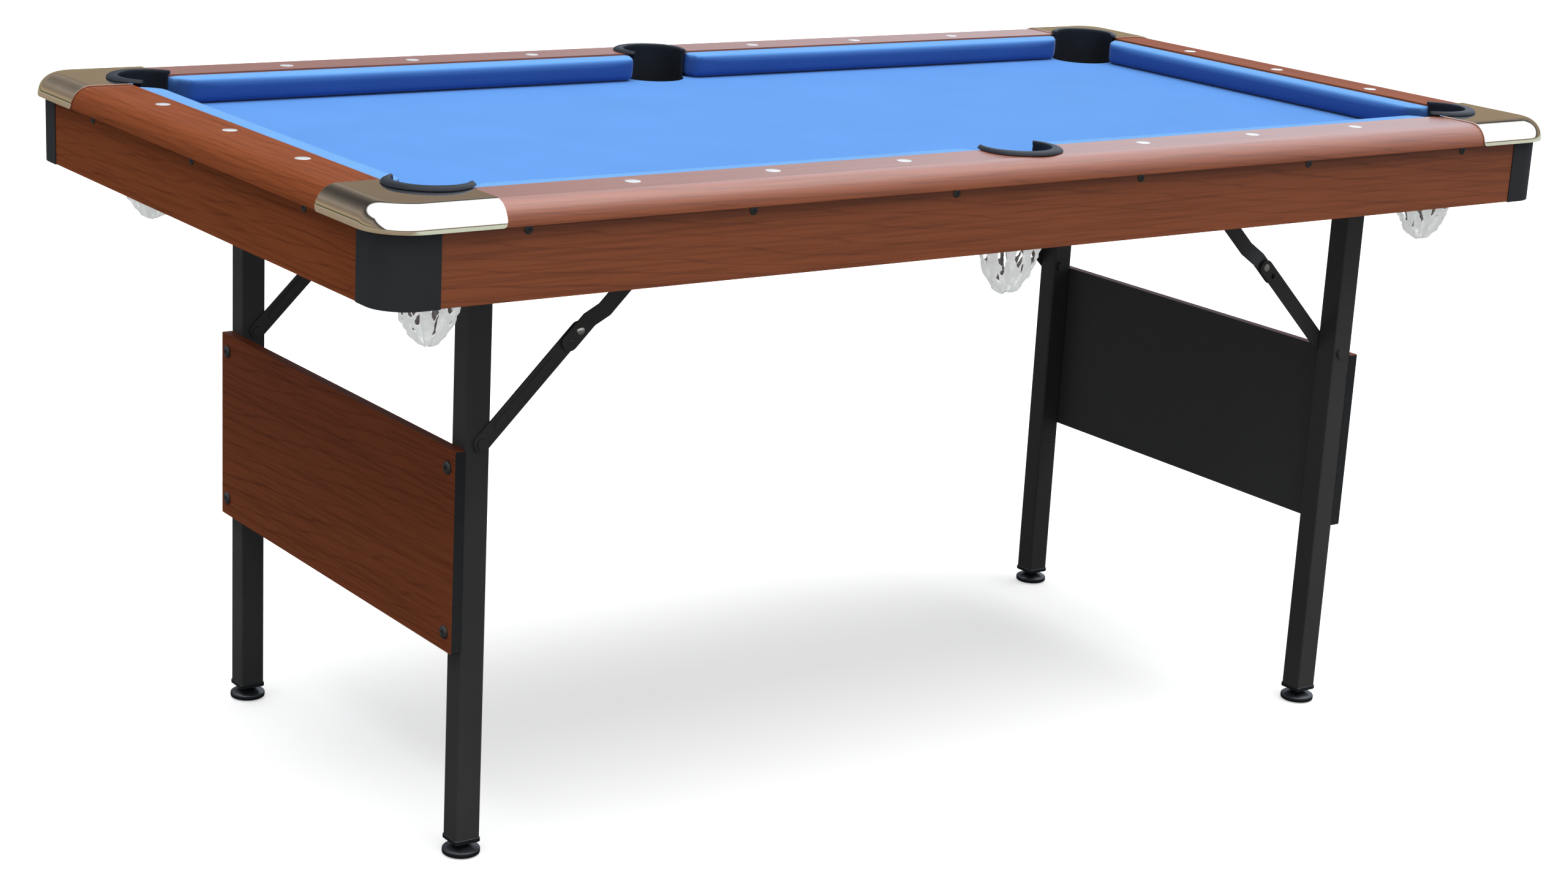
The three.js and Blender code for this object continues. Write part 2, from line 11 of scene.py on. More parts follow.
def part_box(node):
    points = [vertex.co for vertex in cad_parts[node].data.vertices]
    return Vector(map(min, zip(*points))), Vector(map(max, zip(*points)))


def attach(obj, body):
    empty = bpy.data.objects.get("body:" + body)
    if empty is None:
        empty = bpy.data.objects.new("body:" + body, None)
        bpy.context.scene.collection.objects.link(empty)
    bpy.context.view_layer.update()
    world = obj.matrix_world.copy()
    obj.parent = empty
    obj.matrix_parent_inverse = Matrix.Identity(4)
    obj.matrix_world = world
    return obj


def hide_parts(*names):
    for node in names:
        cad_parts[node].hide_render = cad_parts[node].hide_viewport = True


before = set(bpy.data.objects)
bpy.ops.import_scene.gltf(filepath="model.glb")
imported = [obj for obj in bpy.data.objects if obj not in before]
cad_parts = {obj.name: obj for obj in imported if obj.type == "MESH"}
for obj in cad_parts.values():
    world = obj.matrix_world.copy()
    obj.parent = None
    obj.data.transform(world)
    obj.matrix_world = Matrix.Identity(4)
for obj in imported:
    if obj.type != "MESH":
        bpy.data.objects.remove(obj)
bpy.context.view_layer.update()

MM = 0.001
ENDS = ("left", "right")
ROWS = ("front", "back")
CORNERS = {"left_front": (-1, -1), "right_front": (1, -1), "left_back": (-1, 1), "right_back": (1, 1)}
TURN = {"left": 1, "right": -1}

# ---- Sizes read from the frame ----
RAIL_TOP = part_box("rail_front")[1].z
RAIL_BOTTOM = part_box("rail_front")[0].z
RAIL_HALF_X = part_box("rail_right")[1].x
RAIL_HALF_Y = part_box("rail_back")[1].y
APRON_HALF_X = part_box("apron_right")[1].x
APRON_HALF_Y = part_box("apron_back")[1].y
PLAY_HALF_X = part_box("cushion_right")[1].x

# ---- Sizes shared with the CAD drawing ----
POCKET_RADIUS = 42.4 * MM
CORNER_POCKET_X, CORNER_POCKET_Y, SIDE_POCKET_Y = 727 * MM, 340 * MM, 378 * MM
RAIL_ROUND = 24 * MM
RAIL_CORNER = 48.5 * MM
LEG_HALF = 15 * MM
LEG_BOLT = Vector((-607 * MM, 0, 480 * MM))
BRACE_TOP = Vector((-365 * MM, 0, 718 * MM))
BRACE_LOWER = 163.71 * MM
LOCK_SPACING = 17 * MM

# Each pocket: centre x and y, and the direction that points away from the playing area.
POCKETS = {
    name: (sx * CORNER_POCKET_X, sy * CORNER_POCKET_Y, math.radians(sy * (90 - sx * 45)))
    for name, (sx, sy) in CORNERS.items()
}
POCKETS["side_front"] = (0.0, -SIDE_POCKET_Y, math.radians(-90))
POCKETS["side_back"] = (0.0, SIDE_POCKET_Y, math.radians(90))

BRACE_RUN = (BRACE_TOP - LEG_BOLT).normalized()
ELBOW = LEG_BOLT + BRACE_RUN * BRACE_LOWER
LOCK = LEG_BOLT + BRACE_RUN * (BRACE_LOWER - LOCK_SPACING)


# ---- Node helpers ----
class Nodes:
    """A node tree under construction: add() places a node and wires its inputs."""

    def __init__(self, tree):
        self.tree = tree

    def add(self, kind, inputs=None, **settings):
        node = self.tree.nodes.new(kind)
        for key, value in settings.items():
            setattr(node, key, value)
        self.wire(node, inputs or {})
        return node

    def wire(self, node, inputs):
        for key, value in inputs.items():
            socket = node.inputs[key]
            if isinstance(value, bpy.types.NodeSocket):
                self.tree.links.new(value, socket)
            else:
                socket.default_value = value

    def ramp(self, factor, stops):
        node = self.add("ShaderNodeValToRGB", {"Fac": factor})
        elements = node.color_ramp.elements
        while len(elements) < len(stops):
            elements.new(0.5)
        for element, (position, colour) in zip(elements, stops):
            element.position = position
            element.color = (*colour, 1.0)
        return node.outputs["Color"]

    def maths(self, operation, first, second=0.0):
        return self.add("ShaderNodeMath", {0: first, 1: second}, operation=operation).outputs[0]

    def mapped(self, value, low, high, value_low=0.0, value_high=1.0):
        """Runs from low to high while the value runs from value_low to value_high; constant outside."""
        node = self.add("ShaderNodeMapRange", {
            "Value": value, "From Min": value_low, "From Max": value_high, "To Min": low, "To Max": high,
        })
        return node.outputs["Result"]

    def axes(self, vector):
        return self.add("ShaderNodeSeparateXYZ", {"Vector": vector}).outputs


class Finish(Nodes):
    """A material under construction."""

    def __init__(self, name):
        self.material = bpy.data.materials.new(name)
        self.material.use_nodes = True
        super().__init__(self.material.node_tree)
        self.shader = self.tree.nodes["Principled BSDF"]
        self.place = self.add("ShaderNodeTexCoord").outputs["Object"]

    def set(self, **inputs):
        self.wire(self.shader, {key.replace("_", " "): value for key, value in inputs.items()})

    def base_colour(self):
        """What feeds the base colour so far."""
        return self.shader.inputs["Base Color"].links[0].from_socket

    def stretched(self, scale, shift=(0.0, 0.0, 0.0), turn=(0.0, 0.0, 0.0)):
        settings = {"Vector": self.place, "Scale": scale, "Location": shift, "Rotation": turn}
        return self.add("ShaderNodeMapping", settings).outputs["Vector"]

    def noise(self, scale, detail=2.0, vector=None, roughness=0.5):
        node = self.add("ShaderNodeTexNoise", {
            "Vector": vector or self.place, "Scale": scale, "Detail": detail, "Roughness": roughness,
        })
        return node.outputs["Fac"]

    def blend(self, factor, first, second, kind="MIX"):
        node = self.add("ShaderNodeMix", {0: factor}, data_type="RGBA", blend_type=kind)
        sockets = [socket for socket in node.inputs if socket.type == "RGBA"]
        for socket, colour in zip(sockets, (first, second)):
            if isinstance(colour, bpy.types.NodeSocket):
                self.tree.links.new(colour, socket)
            else:
                socket.default_value = (*colour, 1.0)
        return [socket for socket in node.outputs if socket.type == "RGBA"][0]

    def shaded(self, colour, upright, upward):
        """Paints light and shade into a colour: multiplies it by one factor where the surface stands
        upright, another where it faces up.
        """
        facing_up = self.axes(self.add("ShaderNodeNewGeometry").outputs["Normal"])["Z"]
        return self.blend(1.0, colour, self.ramp(facing_up, [(0.0, upright), (0.75, upward)]), "MULTIPLY")

    def bump(self, height, distance, strength=1.0):
        node = self.add("ShaderNodeBump", {"Height": height, "Distance": distance, "Strength": strength})
        self.set(Normal=node.outputs["Normal"])

    def edges(self, radius):
        """0 on flat surfaces, rising towards 1 where the surface turns sharply."""
        rounded = self.add("ShaderNodeBevel", {"Radius": radius}, samples=4).outputs["Normal"]
        true = self.add("ShaderNodeNewGeometry").outputs["Normal"]
        compare = self.add("ShaderNodeVectorMath", {0: rounded, 1: true}, operation="DOT_PRODUCT")
        return self.maths("MULTIPLY", self.maths("SUBTRACT", 1.0, compare.outputs["Value"]), 4.0)


def grey(value):
    return (value, value, value)


# ---- Materials ----
GRAIN_STRETCH = 0.085
PORES_ACROSS, PORES_ALONG = 300.0, 6.0
MIRROR_ROUGHNESS = 0.0


def scaled(colour, factor, lift=0.0):
    return [channel * factor + lift for channel in colour]


def along_axis(axis, across, along):
    """A mapping's scale: one value along the named axis and another across it."""
    return [along if name == axis else across for name in "XYZ"]


def wood_grain(name, axis, light, mid, dark, seed, ior=1.5, coat=0.0, painted_top_shading=1.0):
    """Printed wood laminate: wavy dark growth lines, fine pores and slow changes of tone along one axis; a
    top factor below 1 paints shade onto surfaces that face up.
    """
    finish = Finish(name)
    shift = (seed, seed * 0.7, seed * 0.4)
    grown = finish.stretched(along_axis(axis, 1.0, GRAIN_STRETCH), shift, (0.06, 0.02, 0.015))
    lines = finish.add("ShaderNodeTexWave", {
        "Vector": grown, "Scale": 46.0, "Distortion": 8.0, "Detail": 3.0, "Detail Scale": 0.55,
        "Detail Roughness": 0.55,
    }, wave_type="BANDS", bands_direction="DIAGONAL", wave_profile="SAW").outputs["Fac"]
    tone = finish.ramp(lines, [
        (0.0, dark), (0.02, mid), (0.10, light), (0.88, light), (0.97, mid), (1.0, dark),
    ])
    slow = finish.noise(7.0, 3.0, grown, 0.6)
    faded = finish.blend(finish.ramp(slow, [(0.36, grey(0.15)), (0.64, grey(0.75))]), light, tone)
    pores = finish.noise(1.0, 4.0, finish.stretched(along_axis(axis, PORES_ACROSS, PORES_ALONG)), 0.65)
    specks = finish.ramp(pores, [(0.38, grey(0.50)), (0.53, grey(1.0))])
    streaked = finish.blend(0.5, faded, specks, "MULTIPLY")
    bands = finish.ramp(finish.noise(2.4, 2.0, grown), [(0.3, grey(0.36)), (0.7, grey(0.62))])
    varied = finish.blend(0.6, streaked, bands, "SOFT_LIGHT")
    wear = finish.maths("MULTIPLY", finish.edges(1.0 * MM), 0.35)
    worn = finish.blend(wear, varied, scaled(light, 1.5))
    # Painted shade: where the surface faces up, the colour is multiplied by the top factor.
    finish.set(Base_Color=finish.shaded(worn, grey(1.0), grey(painted_top_shading)), IOR=ior)
    finish.set(Roughness=finish.mapped(pores, 0.42, 0.34))
    finish.set(Coat_Weight=coat, Coat_Roughness=0.3, Coat_IOR=ior)
    finish.bump(pores, 0.04 * MM)
    return finish


def end_panel_board(name, outward, seed):
    """Dark laminate on the outer face and the top edge, black on the inner face and the ends; the inner face
    gets a paler black as painted light, since it stands in shade.
    """
    finish = wood_grain(name, "Y", **WALNUT, seed=seed, ior=1.12)
    wood = finish.base_colour()
    facing = finish.axes(finish.add("ShaderNodeTexCoord").outputs["Normal"])
    turned_out = finish.maths("MULTIPLY", facing["X"], outward)
    grain = finish.noise(900.0, 2.0)
    ends = finish.ramp(grain, [(0.3, grey(0.040)), (0.7, (0.048, 0.050, 0.053))])
    # Painted light: a paler black for the inner face, which stands in shade.
    inner_black_painted_light = finish.ramp(grain, [(0.3, grey(0.100)), (0.7, (0.115, 0.118, 0.122))])
    black = finish.blend(finish.maths("LESS_THAN", turned_out, -0.5), ends, inner_black_painted_light)
    veneered = finish.maths("GREATER_THAN", finish.maths("MAXIMUM", turned_out, facing["Z"]), 0.5)
    finish.set(Base_Color=finish.blend(veneered, black, wood))
    return finish.material


def billiard_cloth(name, base, pile, painted_side_shade, painted_top_shading):
    """Tight woven cloth: crossing threads and a soft sheen, with painted shade where it stands upright and
    painted light, given by a factor, where it faces up.
    """
    finish = Finish(name)
    threads = [
        finish.add("ShaderNodeTexWave", {
            "Vector": finish.place, "Scale": 420.0, "Distortion": 1.5, "Detail": 1.0,
        }, wave_type="BANDS", bands_direction=axis).outputs["Fac"]
        for axis in ("X", "Y")
    ]
    weave = finish.maths("ADD", *threads)
    height = finish.maths("ADD", finish.maths("MULTIPLY", weave, 0.5), finish.noise(2200.0, 3.0))
    tone = finish.ramp(finish.noise(9.0, 4.0), [(0.25, scaled(base, 0.96)), (0.75, scaled(base, 1.03))])
    specks = finish.ramp(height, [(0.35, grey(0.4)), (1.0, grey(1.0))])
    speckled = finish.blend(0.16, tone, specks, "MULTIPLY")
    # Painted light and shade: upright cloth is multiplied by the side factor, cloth facing up by the top
    # factor.
    finish.set(Base_Color=finish.shaded(speckled, painted_side_shade, painted_top_shading), Roughness=0.92)
    finish.set(Specular_IOR_Level=0.2, Sheen_Weight=0.35, Sheen_Roughness=0.35, Sheen_Tint=(*pile, 1.0))
    finish.bump(height, 0.12 * MM, 0.7)
    return finish.material


def chrome_plate():
    """Bright plate, smooth enough for the renderer to treat it as a mirror."""
    finish = Finish("chrome_plate")
    smears = finish.noise(60.0, 4.0)
    tint = finish.ramp(smears, [(0.3, (0.84, 0.83, 0.81)), (0.7, (0.90, 0.90, 0.90))])
    finish.set(Base_Color=tint, Metallic=1.0, Roughness=MIRROR_ROUGHNESS)
    finish.bump(finish.noise(35.0, 1.0), 0.05 * MM, 0.6)
    return finish.material


def moulded_plastic(name, low, high, roughness, grain, depth, ior=1.5):
    """Moulded plastic or rubber with a fine eroded texture and paler edges."""
    finish = Finish(name)
    texture = finish.noise(grain, 3.0)
    tone = finish.ramp(finish.noise(9.0, 3.0), [(0.3, low), (0.7, high)])
    edge = finish.maths("MULTIPLY", finish.edges(0.8 * MM), 0.35)
    rough = finish.mapped(texture, roughness - 0.06, roughness + 0.06)
    finish.set(Base_Color=finish.blend(edge, tone, scaled(high, 1.8, 0.01)), Roughness=rough, IOR=ior)
    finish.bump(texture, depth)
    return finish.material


def powder_coat():
    """Satin black paint on steel: orange-peel texture, edges rubbed a little brighter."""
    finish = Finish("black_powder_coat")
    peel = finish.noise(700.0, 2.0)
    patches = finish.noise(6.0, 3.0)
    tone = finish.ramp(patches, [(0.3, (0.056, 0.055, 0.053)), (0.7, (0.074, 0.072, 0.069))])
    edge = finish.maths("MULTIPLY", finish.edges(0.8 * MM), 0.5)
    worn = finish.blend(edge, tone, (0.09, 0.092, 0.094))
    finish.set(Base_Color=worn, Roughness=finish.mapped(peel, 0.30, 0.42))
    finish.bump(peel, 0.06 * MM, 0.8)
    return finish.material


def zinc():
    """Yellowish zinc plate on the rivets."""
    finish = Finish("zinc_rivet")
    spots = finish.noise(500.0, 4.0)
    tone = finish.ramp(spots, [(0.3, (0.66, 0.60, 0.47)), (0.7, (0.90, 0.87, 0.78))])
    finish.set(Base_Color=tone, Metallic=1.0, Roughness=finish.mapped(spots, 0.2, 0.4))
    finish.bump(spots, 0.05 * MM)
    return finish.material


def pearl():
    """Glossy white of the rail sights, with a faint swirl."""
    finish = Finish("pearl_sight")
    swirl = finish.noise(260.0, 3.0)
    tone = finish.ramp(swirl, [(0.3, (0.72, 0.76, 0.80)), (0.7, (0.92, 0.92, 0.90))])
    finish.set(Base_Color=tone, Roughness=0.22, Coat_Weight=0.5, Coat_Roughness=0.08)
    finish.bump(swirl, 0.02 * MM)
    return finish.material


def net_plastic(name, low, high, glow):
    """Milky, slightly clear flexible plastic; glow stands for the light that comes through it."""
    finish = Finish(name)
    tint = finish.ramp(finish.noise(55.0, 4.0), [(0.3, low), (0.7, high)])
    finish.set(Base_Color=tint, Emission_Color=tint, Emission_Strength=glow, Roughness=0.3)
    finish.set(Subsurface_Weight=0.6, Subsurface_Radius=(1.0, 1.0, 1.0), Subsurface_Scale=6 * MM)
    finish.bump(finish.noise(320.0, 3.0), 0.35 * MM)
    return finish.material


def raw_fibreboard():
    """Unfaced underside of the bed."""
    finish = Finish("raw_fibreboard")
    flecks = finish.noise(420.0, 5.0, roughness=0.7)
    tone = finish.ramp(flecks, [(0.3, (0.16, 0.095, 0.045)), (0.7, (0.30, 0.20, 0.10))])
    finish.set(Base_Color=tone, Roughness=0.88)
    finish.bump(flecks, 0.2 * MM)
    return finish.material


CHERRY = dict(light=(0.39, 0.105, 0.037), mid=(0.28, 0.074, 0.028), dark=(0.110, 0.032, 0.018))
WALNUT = dict(light=(0.38, 0.099, 0.037), mid=(0.28, 0.068, 0.026), dark=(0.125, 0.035, 0.018))
BLUE = (0.110, 0.325, 0.80)
PILE = (0.70, 0.82, 1.0)
# Painted shade: the top factors below 1 darken the rail tops.
cherry_x = wood_grain("cherry_along_x", "X", **CHERRY, seed=0.0, ior=1.38, coat=1.0, painted_top_shading=0.8).material
cherry_y = wood_grain("cherry_along_y", "Y", **CHERRY, seed=3.7, ior=1.06, painted_top_shading=0.72).material
panel_boards = {
    "left": end_panel_board("panel_left", -1, 2.3),
    "right": end_panel_board("panel_right", 1, 5.1),
}
# Painted shade on upright cloth; the cushion tops get painted light from factors above 1.
bed_cloth_blue = billiard_cloth("bed_cloth_blue", BLUE, PILE, grey(0.8), grey(1.0))
cushion_blue = billiard_cloth("cushion_blue", BLUE, PILE, (0.36, 0.35, 0.44), (1.5, 1.28, 1.06))
chrome = chrome_plate()
cover_plastic = moulded_plastic(
    "cover_plastic", (0.018, 0.019, 0.020), (0.026, 0.027, 0.028),
    roughness=0.48, grain=900.0, depth=0.08 * MM,
)
pocket_rubber = moulded_plastic(
    "pocket_rubber", (0.012, 0.014, 0.018), (0.021, 0.024, 0.030),
    roughness=0.42, grain=1200.0, depth=0.05 * MM, ior=1.22,
)
foot_plastic = moulded_plastic(
    "foot_plastic", (0.008, 0.009, 0.010), (0.016, 0.017, 0.019),
    roughness=0.4, grain=800.0, depth=0.06 * MM,
)
steel = powder_coat()
zinc_metal = zinc()
pearl_white = pearl()
net_white = net_plastic("net_plastic", (0.80, 0.84, 0.83), (0.95, 0.96, 0.94), 0.42)
# Painted shade: a darker, dimmer copy of the net plastic for the inner wall, which the liner shades.
net_inside_painted_shade = net_plastic("net_plastic_inside_painted_shade", (0.20, 0.185, 0.18), (0.34, 0.31, 0.30), 0.05)
fibreboard = raw_fibreboard()


# ---- Mesh helpers ----
def smooth_by_angle_group(angle):
    """Geometry nodes: smooth shading, except across edges sharper than angle."""
    group = bpy.data.node_groups.new("smooth_by_angle", "GeometryNodeTree")
    for direction in ("INPUT", "OUTPUT"):
        group.interface.new_socket("Geometry", in_out=direction, socket_type="NodeSocketGeometry")
    nodes = Nodes(group)
    source = nodes.add("NodeGroupInput").outputs[0]
    turn = nodes.add("GeometryNodeInputMeshEdgeAngle").outputs["Unsigned Angle"]
    gentle = nodes.add("FunctionNodeCompare", operation="LESS_THAN")
    nodes.wire(gentle, {"A": turn, "B": angle})
    faces = nodes.add("GeometryNodeSetShadeSmooth", {"Geometry": source}).outputs[0]
    edges = nodes.add("GeometryNodeSetShadeSmooth", {"Geometry": faces}, domain="EDGE")
    nodes.wire(edges, {"Shade Smooth": gentle.outputs[0]})
    nodes.add("NodeGroupOutput", {0: edges.outputs[0]})
    return group


SMOOTH_BELOW, BEVEL_ABOVE = math.radians(32), math.radians(40)
SMOOTH = smooth_by_angle_group(SMOOTH_BELOW)


def modify(obj, name, kind, **settings):
    modifier = obj.modifiers.new(name, kind)
    for key, value in settings.items():
        setattr(modifier, key, value)
    return modifier


def soften(obj, width=0.0):
    """Rounds the sharp edges by a width, smooths the rest, and keeps broad flat faces evenly shaded."""
    if width:
        modify(
            obj, "rounded_edges", "BEVEL", width=width, segments=2, limit_method="ANGLE",
            angle_limit=BEVEL_ABOVE, use_clamp_overlap=True,
        )
    modify(obj, "smooth_shading", "NODES", node_group=SMOOTH)
    modify(obj, "even_shading", "WEIGHTED_NORMAL", keep_sharp=True)


def place(mesh_or_bmesh, name, body, material):
    """Turns a bmesh or mesh into a piece of the object."""
    if isinstance(mesh_or_bmesh, bmesh.types.BMesh):
        bmesh.ops.recalc_face_normals(mesh_or_bmesh, faces=mesh_or_bmesh.faces)
        mesh = bpy.data.meshes.new(name)
        mesh_or_bmesh.to_mesh(mesh)
        mesh_or_bmesh.free()
    else:
        mesh = mesh_or_bmesh
    obj = bpy.data.objects.new(name, mesh)
    bpy.context.scene.collection.objects.link(obj)
    mesh.materials.clear()
    mesh.materials.append(material)
    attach(obj, body)
    return obj


def baked(obj):
    """A new mesh with the object's modifiers applied."""
    graph = bpy.context.evaluated_depsgraph_get()
    graph.update()
    return bpy.data.meshes.new_from_object(obj.evaluated_get(graph), depsgraph=graph)


def smooth_step(t):
    t = min(1.0, max(0.0, t))
    return t * t * (3 - 2 * t)


def loft(bm, rings, closed_ring=True, closed_path=False, caps=True):
    """Joins rings of points with quads."""
    rows = [[bm.verts.new(point) for point in ring] for ring in rings]
    count = len(rows[0])
    pairs = list(zip(rows, rows[1:] + rows[:1])) if closed_path else list(zip(rows, rows[1:]))
    for first, second in pairs:
        for i in range(count if closed_ring else count - 1):
            j = (i + 1) % count
            bm.faces.new((first[i], first[j], second[j], second[i]))
    if caps and not closed_path and closed_ring:
        bm.faces.new(rows[0][::-1])
        bm.faces.new(rows[-1])
    return rows


def turned(profile, steps=48):
    """A solid of revolution about Z from (radius, height) points that start and end on the axis."""
    bm = bmesh.new()
    angles = [2 * math.pi * i / steps for i in range(steps)]
    rings = [[Vector((r * math.cos(a), r * math.sin(a), z)) for a in angles] for r, z in profile[1:-1]]
    rows = loft(bm, rings, caps=False)
    for row, (_, z) in ((rows[0], profile[0]), (rows[-1], profile[-1])):
        pole = bm.verts.new((0, 0, z))
        for i in range(steps):
            bm.faces.new((row[i], row[(i + 1) % steps], pole))
    return bm


def moved(bm, matrix):
    bmesh.ops.transform(bm, matrix=matrix, verts=bm.verts)
    return bm


AXIS_TURNS = {
    (0, 1, 0): Matrix.Rotation(-math.pi / 2, 4, "X"),
    (0, -1, 0): Matrix.Rotation(math.pi / 2, 4, "X"),
    (1, 0, 0): Matrix.Rotation(math.pi / 2, 4, "Y"),
    (-1, 0, 0): Matrix.Rotation(-math.pi / 2, 4, "Y"),
}


def facing(position, axis):
    """Moves a piece drawn along +Z to a position, with its top towards the axis."""
    return Matrix.Translation(position) @ AXIS_TURNS[axis]


# ---- CAD nodes that keep their shape ----
WELD_GAP = 0.01 * MM


def dress(node, material, width=0.6 * MM):
    """Gives a CAD node its material; its faces arrive unjoined, so they are welded before rounding."""
    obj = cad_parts[node]
    obj.data.materials.clear()
    obj.data.materials.append(material)
    modify(obj, "joined_faces", "WELD", merge_threshold=WELD_GAP)
    soften(obj, width)


def dress_frame():
    """Gives every CAD node that stays visible its material and edges."""
    for side in ("front", "back"):
        dress(f"apron_{side}", cherry_x)
        dress(f"rail_{side}", cherry_x, 0.0)
    for side in ENDS:
        dress(f"apron_{side}", cherry_y)
        dress(f"rail_{side}", cherry_y, 0.0)
        dress(f"leg_mount_{side}", steel, 0.3 * MM)
        dress(f"end_panel_{side}", panel_boards[side], 0.8 * MM)
        for row in ROWS:
            dress(f"leg_{side}_{row}", steel, 0.0)
            dress(f"brace_bracket_{side}_{row}", steel, 0.4 * MM)
            dress(f"brace_lower_{side}_{row}", steel, 0.5 * MM)
            dress(f"brace_upper_{side}_{row}", steel, 0.5 * MM)
    for corner in CORNERS:
        dress(f"corner_cover_{corner}", cover_plastic, 0.8 * MM)
    dress("bed_panel", fibreboard, 0.5 * MM)


# ---- Bed cloth ----
CLOTH_RIM = 1.2 * MM
NOTCH_STEPS = 36


def bed_outline(half_x, half_y):
    """Outline of the bed, anticlockwise; pockets are half circles with straight sides out to the edge."""
    outline = []
    for name in ("right_back", "side_back", "left_back", "left_front", "side_front", "right_front"):
        x, y, outward = POCKETS[name]
        first = outward - math.pi / 2
        arc = [first - math.pi * i / NOTCH_STEPS for i in range(NOTCH_STEPS + 1)]
        notch = [(x + POCKET_RADIUS * math.cos(a), y + POCKET_RADIUS * math.sin(a)) for a in arc]
        (x0, y0), (x1, y1) = notch[0], notch[-1]
        edge_x, edge_y = math.copysign(half_x, x), math.copysign(half_y, y)
        if name.startswith("side"):
            ends = (x0, edge_y), (x1, edge_y)
        elif x * y > 0:
            ends = (edge_x, y0), (x1, edge_y)
        else:
            ends = (x0, edge_y), (edge_x, y1)
        outline += [ends[0], *notch, ends[1]]
    return outline


def build_bed_cloth():
    """One sheet with rounded rims where the cloth is pulled down into the pockets."""
    curve = bpy.data.curves.new("bed_cloth_outline", "CURVE")
    curve.dimensions = "2D"
    curve.fill_mode = "BOTH"
    low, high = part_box("bed_cloth")
    curve.extrude = (high.z - low.z) / 2 - CLOTH_RIM
    curve.bevel_depth = CLOTH_RIM
    curve.bevel_resolution = 3
    curve.offset = -CLOTH_RIM

    points = bed_outline(high.x, high.y)
    spline = curve.splines.new("POLY")
    spline.points.add(len(points) - 1)
    for target, (x, y) in zip(spline.points, points):
        target.co = (x, y, 0, 1)
    spline.use_cyclic_u = True
    source = bpy.data.objects.new("bed_cloth_outline", curve)
    bpy.context.scene.collection.objects.link(source)
    mesh = baked(source)
    bpy.data.objects.remove(source)
    mesh.transform(Matrix.Translation((0, 0, (high.z + low.z) / 2)))
    piece = place(mesh, "bed_cloth_sheet", "cabinet", bed_cloth_blue)
    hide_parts("bed_cloth")
    soften(piece)


# ---- Cushions ----
CUSHION_NODES = (
    "cushion_left", "cushion_right", "cushion_front_left", "cushion_front_right", "cushion_back_left",
    "cushion_back_right",
)
VOXEL = 5 * MM
SWELL_LIMIT = 1.3 * MM
SWELL_FRAMES = 20
COVER_CLOTH = dict(
    use_pressure=True, uniform_pressure_force=4.0, tension_stiffness=40.0, compression_stiffness=40.0,
    shear_stiffness=20.0, bending_stiffness=2.0,
)


def puffed(mesh, name):
    """Cloth simulation of the cover pressed out by the rubber inside; returns the swollen mesh."""
    obj = bpy.data.objects.new(name + "_sim", mesh)
    scene = bpy.context.scene
    scene.collection.objects.link(obj)
    modify(obj, "remesh", "REMESH", mode="VOXEL", voxel_size=VOXEL)
    start = baked(obj)
    obj.modifiers.clear()
    obj.data = start
    rest = [vertex.co.copy() for vertex in start.vertices]
    cloth = modify(obj, "cloth", "CLOTH")
    for key, value in COVER_CLOTH.items():
        setattr(cloth.settings, key, value)
    cloth.settings.effector_weights.gravity = 0.0
    cloth.point_cache.frame_end = SWELL_FRAMES
    for step in range(1, SWELL_FRAMES + 1):
        scene.frame_set(step)
    result = baked(obj)
    scene.frame_set(1)
    bpy.data.objects.remove(obj)
    for vertex, origin in zip(result.vertices, rest):
        shift = vertex.co - origin
        if shift.length > SWELL_LIMIT:
            vertex.co = origin + shift.normalized() * SWELL_LIMIT
    return result


def build_cushions():
    """Six padded cushions under tight cloth, kept inside the CAD sizes."""
    for node in CUSHION_NODES:
        low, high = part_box(node)
        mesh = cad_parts[node].data.copy()
        result = puffed(mesh, node)
        for vertex in result.vertices:
            vertex.co = [min(max(value, least), most) for value, least, most in zip(vertex.co, low, high)]
        piece = place(result, node + "_cover", "cabinet", cushion_blue)
        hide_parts(node)
        modify(piece, "relax", "SMOOTH", factor=0.5, iterations=2)
        modify(piece, "subdivision", "SUBSURF", levels=1, render_levels=1)
        soften(piece)


# ---- Corner caps ----
CAP_GAP = 0.3 * MM
CAP_THICKNESS = 1.5 * MM
CAP_REACH_X, CAP_REACH_Y = 136 * MM, 140 * MM
CAP_TOP = RAIL_TOP + CAP_GAP + CAP_THICKNESS
CAP_ROLL = RAIL_ROUND + CAP_GAP + CAP_THICKNESS
CAP_LIP = 1.2 * MM
# The lip curves up to each end of the cap; the steps are places along that curve.
CAP_END_RADIUS = 5 * MM
CAP_END_STEPS = (0.0, 1.0 * MM, 2.2 * MM, 3.6 * MM, 5.0 * MM)
CAP_LIP_TUCK = 0.2 * MM
CAP_ROLL_STEPS, CAP_CORNER_STEPS, CAP_POCKET_STEPS = 16, 24, 40


def cap_section(drop):
    """The rolled edge as (outward, upward) steps from the flat top down to drop below it."""
    turn = math.acos(1 - (drop - CAP_LIP) / CAP_ROLL)
    angles = [turn * i / CAP_ROLL_STEPS for i in range(CAP_ROLL_STEPS + 1)]
    points = [(CAP_ROLL * math.sin(a), CAP_ROLL * (math.cos(a) - 1)) for a in angles]
    return points + [(points[-1][0] - CAP_LIP_TUCK, -drop)]


